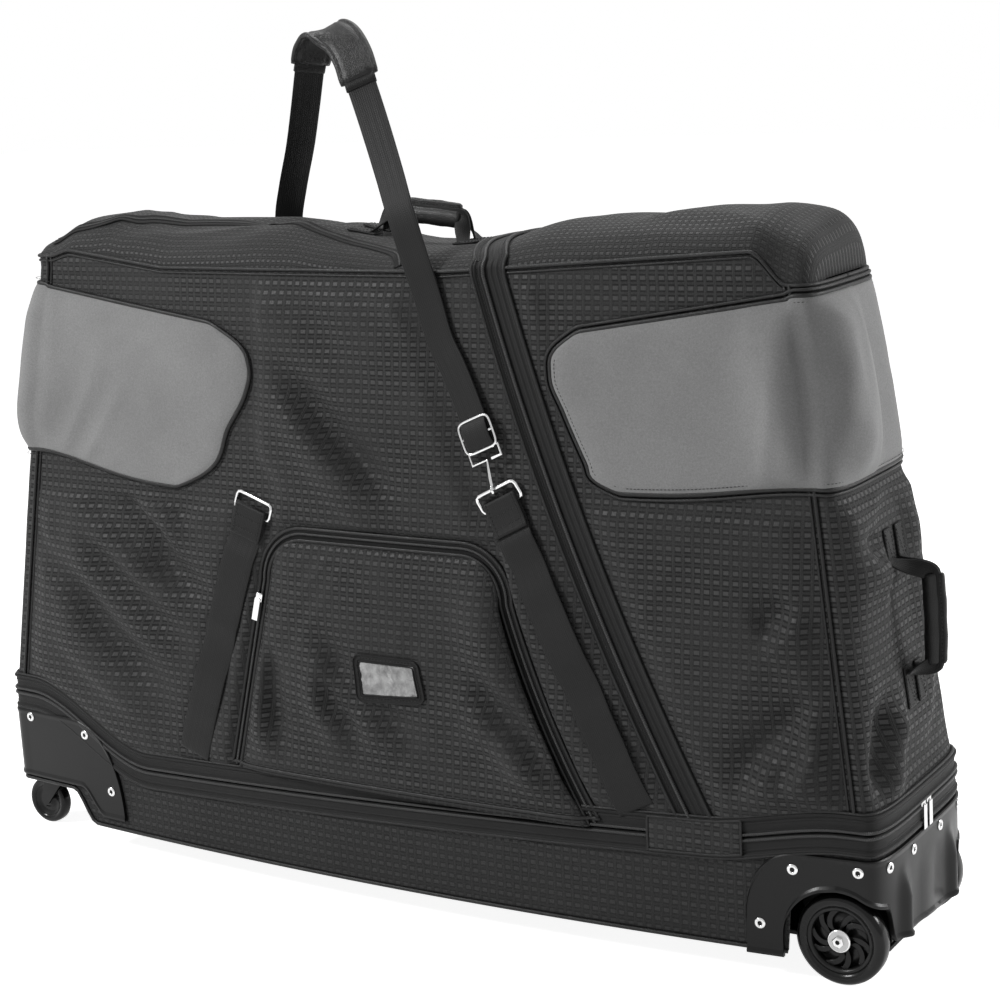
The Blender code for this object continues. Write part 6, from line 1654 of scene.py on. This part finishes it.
def handles():
    reach = TOP_HANDLE["span"] / 2
    feet = [(x, 0, float(top_z(np.array(x), np.array(0.0))))
            for x in (TOP_HANDLE["x"] - reach, TOP_HANDLE["x"] + reach)]
    handle("top", feet, (0, 0, 1), TOP_HANDLE, "top_handle")
    lines = []
    for way in (-1, 1):
        x = TOP_HANDLE["x"] + way * np.linspace(reach - TAB_INSIDE, reach + 0.030, 20)
        for lane in (-1, 1):
            lines.append(top_at(x, lane * TOP_HANDLE["lane"] / top_half_width(x), 0.0005))
    handle_tabs("top", lines)
    reach = END_HANDLE["span"] / 2
    for word, end in (("wheel_end", 1), ("caster_end", -1)):
        feet = [(end * float(half_length(z, end) + GAP), END_HANDLE_Y * end, z)
                for z in (END_HANDLE["z"] - reach, END_HANDLE["z"] + reach)]
        handle(word, feet, (end, 0, 0), END_HANDLE, f"{word}_handle")
        lines = []
        for way in (-1, 1):
            z = END_HANDLE["z"] + way * np.linspace(reach - TAB_INSIDE, reach + 0.036, 20)
            for lane in (-1, 1):
                y = END_HANDLE_Y * end + lane * END_HANDLE["lane"]
                lines.append(end_at(y / half_width(end * corner_x(z, end), z), z, end, 0.0005))
        handle_tabs(word, lines)


# Base

def underside_z(x):
    step = smooth((-x - STEP_END_X) / (STEP_START_X - STEP_END_X))
    return lerp(BASE_UNDERSIDE_Z, STEP_UNDERSIDE_Z, step)


def base_walls():
    """The base's cloth walls between the board and the zip, each half of the way round."""
    stations = perimeter()
    for word, side in (("front", -1), ("back", 1)):
        half = [s for s in stations if (s[0] == "side" and s[2] == side) or (s[0] == "end" and s[1] * side > 0)]
        half = sorted(half, key=lambda s: (s[2] > 0 if s[0] == "end" else 0.5,
                                           s[1] if s[0] == "side" else -abs(s[1]) * s[2]))
        spots, outs, places = [], [], []
        run = 0.0
        last = None
        for station in half:
            spot, out = station_at(station, -BASE_CLOTH_DROP)
            run += 0 if last is None else float(np.linalg.norm((spot - last)[:2]))
            last = spot
            foot = WHEEL_GUARD_TOP_Z - 0.006 if spot[0] > WELL_START_X else float(underside_z(spot[0]))
            z = np.linspace(foot, spot[2], 24)
            distance = np.full(z.shape, run)
            ripple = RIPPLE_HEIGHT * wrinkles(distance, z, *BASE_RIPPLE, side * 2.0)
            ripple = ripple * smooth((z - foot) / 0.02) * smooth((spot[2] - z) / 0.02)
            column = repeated(spot, len(z))
            column[:, 2] = z
            spots.append(column + out * ripple[:, None])
            outs.append(repeated(out, len(z)))
            places.append(np.stack([distance, z], -1))
        piece = cloth(f"base_{word}_cloth", np.array(spots), np.array(places), np.array(outs), "jacquard_base", 0.004)
        settle(piece, "rolling_base", "jacquard_fabric", f"base_{word}_wall")
        line, out = np.array(spots)[:, 0], np.array(outs)[:, 0]
        keep = line[:, 0] < WELL_START_X
        cord(f"base_{word}_binding", line[keep] + out[keep] * 0.001, out[keep], 0.0028, "rolling_base",
             "jacquard_fabric")


def guard_profile(foot, top, lift, rim, relief):
    """Cross-section of a guard, with a raised rim along both of its edges and a relief in its lower part."""
    edge = min(0.007, (top - foot) / 3)
    t = lift + GUARD_THICKNESS
    points = [(lift, foot), (t + rim * 0.6, foot), (t + rim, foot + edge * 0.25), (t + rim, foot + edge * 0.55),
              (t, foot + edge), (t, foot + edge + 0.0012)]
    points += [(t, lerp(foot + edge, top - edge, share)) for share in (0.15, 0.3, 0.45, 0.6, 0.75, 0.88)]
    points += [(t, top - edge - 0.0012), (t, top - edge), (t + rim * 0.6, top - edge * 0.6),
               (t + rim * 0.6, top - edge * 0.2), (t, top), (lift, top)]
    return [(out + (relief * float(smooth((top - 0.024 - z) / 0.035)) if out > lift else 0), z) for out, z in points]


def guard(name, stations, rim):
    sections = []
    for (spot, out), foot, top, relief in stations:
        flat = np.array([spot[0], spot[1], 0.0])
        profile = guard_profile(foot, top, GAP, rim, relief)
        sections.append([flat + out * lift + np.array((0, 0, z)) for lift, z in profile])
    return soften(sweep(name, sections, "moulding"), 0.0008)


def rivet_place(wall, z):
    """Where a rivet sits on a guard, from a place on the plain wall and a height."""
    spot, out = wall
    return np.array((spot[0], spot[1], z)) + out * RIVET_LIFT, out


def rivets(word, places):
    """Plated washers, each with a near-black hexagon plate in its middle, a painted shade that stands for the shaded
    inside of a hexagon socket.
    """
    for name, profile, steps, finish, slot in (
            ("rivets", RIVET_PROFILE, 28, "chrome", "chrome"),
            ("rivet_socket_shades", RIVET_SOCKET_SHADE_PROFILE, 6, "socket", "moulded_plastic")):
        parts = [lathe(name, profile, centre, out, finish, steps) for centre, out in places]
        settle(joined(f"{word}_{name}", parts), "rolling_base", slot)


def risen(back, curve):
    """How much of its height a guard has at a share of the way behind its toe."""
    return math.sqrt(max(0, 1 - (1 - back) ** curve))


def caster_guard():
    corner = float(corner_x(0.0, -1))
    lobe = CASTER_LOBE_START_X - CASTER_GUARD_REACH
    shares = np.linspace(0, 1, 40) ** 1.8
    xs = np.concatenate([CASTER_GUARD_REACH + lobe * shares, np.linspace(CASTER_LOBE_START_X, corner, 16)[1:]])
    stations = []
    start, end = CASTER_GUARD_HOLLOW
    for side in (-1, 1):
        part = []
        for x in xs:
            back = min(1, (x - CASTER_GUARD_REACH) / lobe)
            top = lerp(CASTER_GUARD_TOE_Z + GUARD_THICKNESS, CASTER_GUARD_TOP_Z, risen(back, CASTER_GUARD_CURVE))
            foot = lerp(CASTER_GUARD_TOE_Z, CASTER_GUARD_FOOT_Z, float(smooth((back - start) / (end - start))))
            part.append((side_wall(-x, 0.0, side), foot, top, 0))
        if side < 0:
            stations += part
            stations += [(end_wall(w, 0.0, -1), CASTER_GUARD_FOOT_Z, CASTER_GUARD_TOP_Z, 0)
                         for w in round_end(40)[1:-1]]
        else:
            stations += part[::-1]
    settle(guard("caster_guard_shell", stations, CASTER_GUARD_RIM), "rolling_base", "moulded_plastic",
           "caster_end_guard")
    places = [rivet_place(side_wall(x, 0.0, side), z) for side in (-1, 1) for x, z in CASTER_GUARD_RIVETS]
    places += [rivet_place(end_wall(w, 0.0, -1), CASTER_END_RIVET_Z) for w in CASTER_END_RIVETS]
    rivets("caster_guard", places)


def arch_z(x, plain):
    reach = WHEEL_RADIUS + ARCH_GAP
    away = abs(x - WHEEL_X)
    if away >= reach:
        return plain
    return max(plain, WHEEL_RADIUS + math.sqrt(reach * reach - away * away))


def wheel_guard():
    corner = float(corner_x(0.0, 1))
    reach = WHEEL_RADIUS + ARCH_GAP
    lobe = WHEEL_LOBE_START_X - WHEEL_GUARD_REACH
    xs = list(WHEEL_GUARD_REACH + lobe * np.linspace(0, 1, 30) ** 1.8)
    xs += [WHEEL_X - reach * math.cos(math.pi * share) for share in np.linspace(0, 0.5, 30) ** 1.3]
    xs += list(np.linspace(WHEEL_X, corner, 10))
    xs = sorted(x for x in set(xs) if x <= corner)
    ends = []
    for w in round_end(90)[1:-1]:
        spot, out = end_wall(w, 0.0, 1)
        arched = arch_z(spot[0], WHEEL_GUARD_END_FOOT_Z)
        blend = float(smooth((abs(spot[1]) - WELL_WALL_Y + GUARD_THICKNESS) / (4 * GUARD_THICKNESS)))
        scoop = 0.018 * bell(spot[1] - 0.045, 0.03) - 0.004 * bell(spot[1] + 0.09, 0.03)
        ridge = 0.010 * bell(abs(spot[1]) - 0.072, 0.011) + 0.004 * bell(spot[1], 0.02)
        ends.append(((spot, out), lerp(WHEEL_GUARD_END_FOOT_Z, arched, blend) - scoop * 0.4, WHEEL_GUARD_TOP_Z, ridge))
    stations = []
    for side in (-1, 1):
        part = []
        for x in xs:
            back = min(1, (x - WHEEL_GUARD_REACH) / lobe)
            top = lerp(WHEEL_GUARD_SHOULDER_Z - lobe / 2, WHEEL_GUARD_TOP_Z, risen(back, WHEEL_GUARD_CURVE))
            part.append((side_wall(x, 0.0, side), arch_z(x, WHEEL_GUARD_FOOT_Z), top, 0))
        stations += part + ends if side < 0 else part[::-1]
    settle(guard("wheel_guard_shell", stations, WHEEL_GUARD_RIM), "rolling_base", "moulded_plastic", "wheel_end_guard")
    for word, side in (("near", -1), ("far", 1)):
        y = side * (WELL_WALL_Y - GUARD_THICKNESS / 2)
        x0, x1 = WELL_START_X, HALF_LENGTH - 0.002
        low, high = WHEEL_GUARD_END_FOOT_Z, WHEEL_GUARD_TOP_Z - GUARD_THICKNESS
        outline = [(x0 + 0.02, low), (x1, low), (x1, high), (x0, high), (x0, low + 0.03)]
        sections = [[(x, y + w, z) for x, z in outline] for w in (-GUARD_THICKNESS / 2, GUARD_THICKNESS / 2)]
        settle(soften(sweep(f"wheel_well_{word}", sections, "moulding"), 0.001), "rolling_base", "moulded_plastic")
    places = [rivet_place(side_wall(x, 0.0, side), z) for side in (-1, 1) for x, z in WHEEL_GUARD_RIVETS]
    half = float(half_width(corner, 0.0))
    places += [rivet_place(end_wall(y / half, 0.0, 1), WHEEL_END_RIVET_Z) for y in WHEEL_END_RIVETS]
    rivets("wheel_guard", places)


# Wheels and casters

def tyre_profile(core, radius, half, crown):
    """Rounded tyre section, as a closed loop of (radius, along) points."""
    turn = np.linspace(-90, 90, 17)
    shoulder = half * 0.55
    flat = half - shoulder
    points = [(core, -half * 0.92)]
    for a in np.radians(turn):
        along = math.copysign(flat, a) + shoulder * math.sin(a) if abs(a) > 0.05 else 0.0
        points.append((radius - shoulder + shoulder * math.cos(a) + crown * (1 - (along / half) ** 2) - crown, along))
    points.append((core, half * 0.92))
    return points


def mirrored(points):
    """A closed profile from its near half, as (radius, along) points."""
    return [*points, *((radius, -along) for radius, along in points[::-1])]


def rear_wheel(word, side):
    centre = np.array((WHEEL_X, side * (WHEEL_FACE_Y - WHEEL_WIDTH / 2), WHEEL_RADIUS))
    body = f"rear_wheel_{word}"
    half = WHEEL_WIDTH / 2
    core = WHEEL_RADIUS - TYRE_DEPTH
    tyre = lathe(f"{body}_tyre", tyre_profile(core, WHEEL_RADIUS, half, 0.0008), centre, (0, 1, 0), "tyre", 96)
    settle(tyre, body, "tyre", f"rear_tyre_{word}")
    rim_wall = ((core - 0.0045, -half * 0.78), (core + 0.0005, -half * 0.88), (core + 0.0005, half * 0.88),
                (core - 0.0045, half * 0.78), (core - 0.0055, half * 0.3), (core - 0.0055, -half * 0.3))
    parts = [lathe("rim", rim_wall, centre, (0, 1, 0), "hub", 96)]
    boss = mirrored(((0.0046, -half * 0.62), (0.0100, -half * 0.62), (0.0118, -half * 0.5)))
    parts.append(lathe("boss", boss, centre, (0, 1, 0), "hub", 40))
    for k in range(HUB_SPOKES):
        for twin in (-0.17, 0.17):
            start = math.tau * k / HUB_SPOKES + twin * 0.55
            t = np.linspace(0, 1, 14)
            radius = lerp(0.0108, core - 0.004, t)
            angle = start + twin * 1.2 * t + 0.55 * t * t * side
            path = centre + np.stack([radius * np.cos(angle), 0 * t, radius * np.sin(angle)], -1)
            outs = repeated(np.array((0.0, side, 0.0)), len(t))
            parts.append(strip("spoke", path, outs, flat_bar(0.0042, half * 0.95, -half * 0.475, 2), "hub"))
    web = mirrored(((0.0100, -0.0016), (core - 0.0040, -0.0016)))
    parts.append(lathe("web", web, centre, (0, 1, 0), "hub", 64))
    settle(joined(f"{body}_hub", parts), body, "moulded_plastic", f"rear_hub_{word}")
    axis = (0, side, 0)
    spot = (WHEEL_X, centre[1] + side * (half - BOLT_DEPTH), WHEEL_RADIUS)
    washer = lathe("washer", WASHER_PROFILE, spot, axis, "chrome", 48)
    nut = lathe("nut", NUT_PROFILE, spot, axis, "chrome", 6)
    for polygon in nut.data.polygons:
        polygon.use_smooth = False
    settle(joined(f"{body}_bolt", [washer, nut]), "rolling_base", "chrome")
    # Painted shade: a near-black hexagon plate in the nut stands for the shaded inside of the bolt's socket.
    hole = lathe(f"{body}_bolt_socket_shade", BOLT_SOCKET_SHADE_PROFILE, spot, axis, "socket", 6)
    settle(hole, "rolling_base", "moulded_plastic")


def caster(word, side):
    pin = np.array((-CASTER_X - CASTER_TRAIL, side * CASTER_Y, CASTER_WHEEL_RADIUS))
    half = CASTER_WHEEL_WIDTH / 2
    tread = tyre_profile(0.0225, CASTER_WHEEL_RADIUS, half * 0.97, 0.0006)
    settle(lathe(f"caster_tyre_{word}", tread, pin, (0, 1, 0), "tyre", 72), f"caster_roller_{word}", "tyre",
           f"caster_wheel_{word}")
    disc = mirrored(((0.0036, -half * 0.80), (0.0075, -half * 0.84), (0.0095, -half * 0.45), (0.0185, -half * 0.35),
                     (0.0215, -half * 0.78), (0.0228, -half * 0.80)))
    settle(lathe(f"caster_hub_{word}", disc, pin, (0, 1, 0), "hub", 48), f"caster_roller_{word}", "moulded_plastic")


# Model nodes that stay

def dress(node, finish, width, angle):
    """Gives a model node its finish and rounded edges; its own mesh stays as it is."""
    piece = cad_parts[node]
    for slot in piece.material_slots:
        slot.material = FINISH[finish]
    weld = piece.modifiers.new("Weld", "WELD")
    weld.merge_threshold = WELD_DISTANCE
    soften(piece, width, angle)


def kept_nodes():
    for finish, width, angle, nodes in KEPT_NODES:
        for node in nodes.split():
            dress(node, finish, width, angle)


# Room, light and camera

def add_light(name, spot, aim, size, power):
    data = bpy.data.lights.new(name, "AREA")
    data.shape = "RECTANGLE"
    data.size, data.size_y = size
    data.energy = power
    lamp = bpy.data.objects.new(name, data)
    lamp.location = spot
    lamp.rotation_euler = (Vector(aim) - Vector(spot)).to_track_quat("-Z", "Y").to_euler()
    bpy.context.scene.collection.objects.link(lamp)


def shown_white(tree, plain, white):
    """Mixes in a white that only the camera and mirror-like rays see."""
    def math_of(operation, a, b):
        return add_node(tree, "ShaderNodeMath", {0: a, 1: b}, operation=operation).outputs[0]

    rays = tree.nodes.new("ShaderNodeLightPath").outputs
    seen = math_of("MAXIMUM", rays["Is Camera Ray"], math_of("MULTIPLY", rays["Is Glossy Ray"], MIRRORED_WHITE))
    seen = math_of("MAXIMUM", seen, rays["Is Transmission Ray"])
    return add_node(tree, "ShaderNodeMixShader", {0: seen, 1: plain, 2: white}).outputs[0]


def room():
    scene = bpy.context.scene
    world = bpy.data.worlds.new("Studio")
    scene.world = world
    world.use_nodes = True
    tree = world.node_tree
    plain = tree.nodes["Background"]
    plain.inputs["Color"].default_value = WHITE
    plain.inputs["Strength"].default_value = ROOM_GLOW
    white = add_node(tree, "ShaderNodeBackground", {"Color": WHITE, "Strength": 1.0})
    tree.links.new(shown_white(tree, plain.outputs[0], white.outputs[0]), tree.nodes["World Output"].inputs[0])
    reach = FLOOR_SIZE / 2
    mesh = bpy.data.meshes.new("floor")
    mesh.from_pydata([(x * reach, y * reach, 0) for x, y in ((-1, -1), (1, -1), (1, 1), (-1, 1))], [], [(0, 1, 2, 3)])
    floor = bpy.data.objects.new("floor", mesh)
    floor.location.z = -FLOOR_DROP
    scene.collection.objects.link(floor)
    paint = Finish("pale_floor", 0.9)
    paint.colour(paint.grain(3.0, 3.0), 0.80, 0.82)
    glow = paint.node("ShaderNodeEmission", {"Color": WHITE, "Strength": FLOOR_GLOW})
    add = paint.node("ShaderNodeAddShader", {0: paint.shader.outputs[0], 1: glow.outputs[0]})
    output = paint.tree.nodes["Material Output"]
    paint.tree.links.new(shown_white(paint.tree, paint.shader.outputs[0], add.outputs[0]), output.inputs["Surface"])
    mesh.materials.append(paint.material)
    for light in LIGHTS:
        add_light(*light)
    scene.view_settings.view_transform = "Standard"


def camera():
    data = bpy.data.cameras.new("camera")
    data.sensor_width = SENSOR_WIDTH
    data.sensor_fit = "HORIZONTAL"
    data.lens = FOCAL_PIXELS * SENSOR_WIDTH / PICTURE_WIDTH
    data.clip_end = 60
    eye = bpy.data.objects.new("camera", data)
    yaw, pitch, roll = CAMERA_YAW, CAMERA_PITCH, CAMERA_ROLL
    ahead = Vector((-math.sin(yaw) * math.cos(pitch), math.cos(yaw) * math.cos(pitch), -math.sin(pitch)))
    right = Vector((math.cos(yaw), math.sin(yaw), 0))
    up = right.cross(ahead)
    turned_right = right * math.cos(roll) + up * math.sin(roll)
    turned_up = up * math.cos(roll) - right * math.sin(roll)
    turn = Matrix((turned_right, turned_up, -ahead)).transposed().to_4x4()
    eye.matrix_world = Matrix.Translation(CAMERA_SPOT) @ turn
    bpy.context.scene.collection.objects.link(eye)
    bpy.context.scene.camera = eye


def build():
    camera()
    room()
    for word, side in (("front", -1), ("back", 1)):
        wall_panel(word, False, side)
        wall_panel(word, True, side)
    end_cloth("caster_end", -1)
    end_cloth("wheel_end", 1)
    top_cloth("top_cloth", False, "top_panel")
    top_cloth("hood_top_cloth", True, "hood_top_panel")
    seam_piping()
    diagonal_band()
    top_zip()
    bumper("caster_end", CASTER_BUMPER, CASTER_TIP)
    bumper("wheel_end", WHEEL_BUMPER, WHEEL_TIP)
    pocket()
    card_window()
    for word in RING_SPOTS:
        lower_webbing(word, -1 if word.startswith("front") else 1)
    shoulder_strap()
    adjuster()
    handles()
    zip_belt()
    bridge_patch()
    base_walls()
    caster_guard()
    wheel_guard()
    for word, side in (("near", -1), ("far", 1)):
        rear_wheel(word, side)
        caster(word, side)
    kept_nodes()


build()
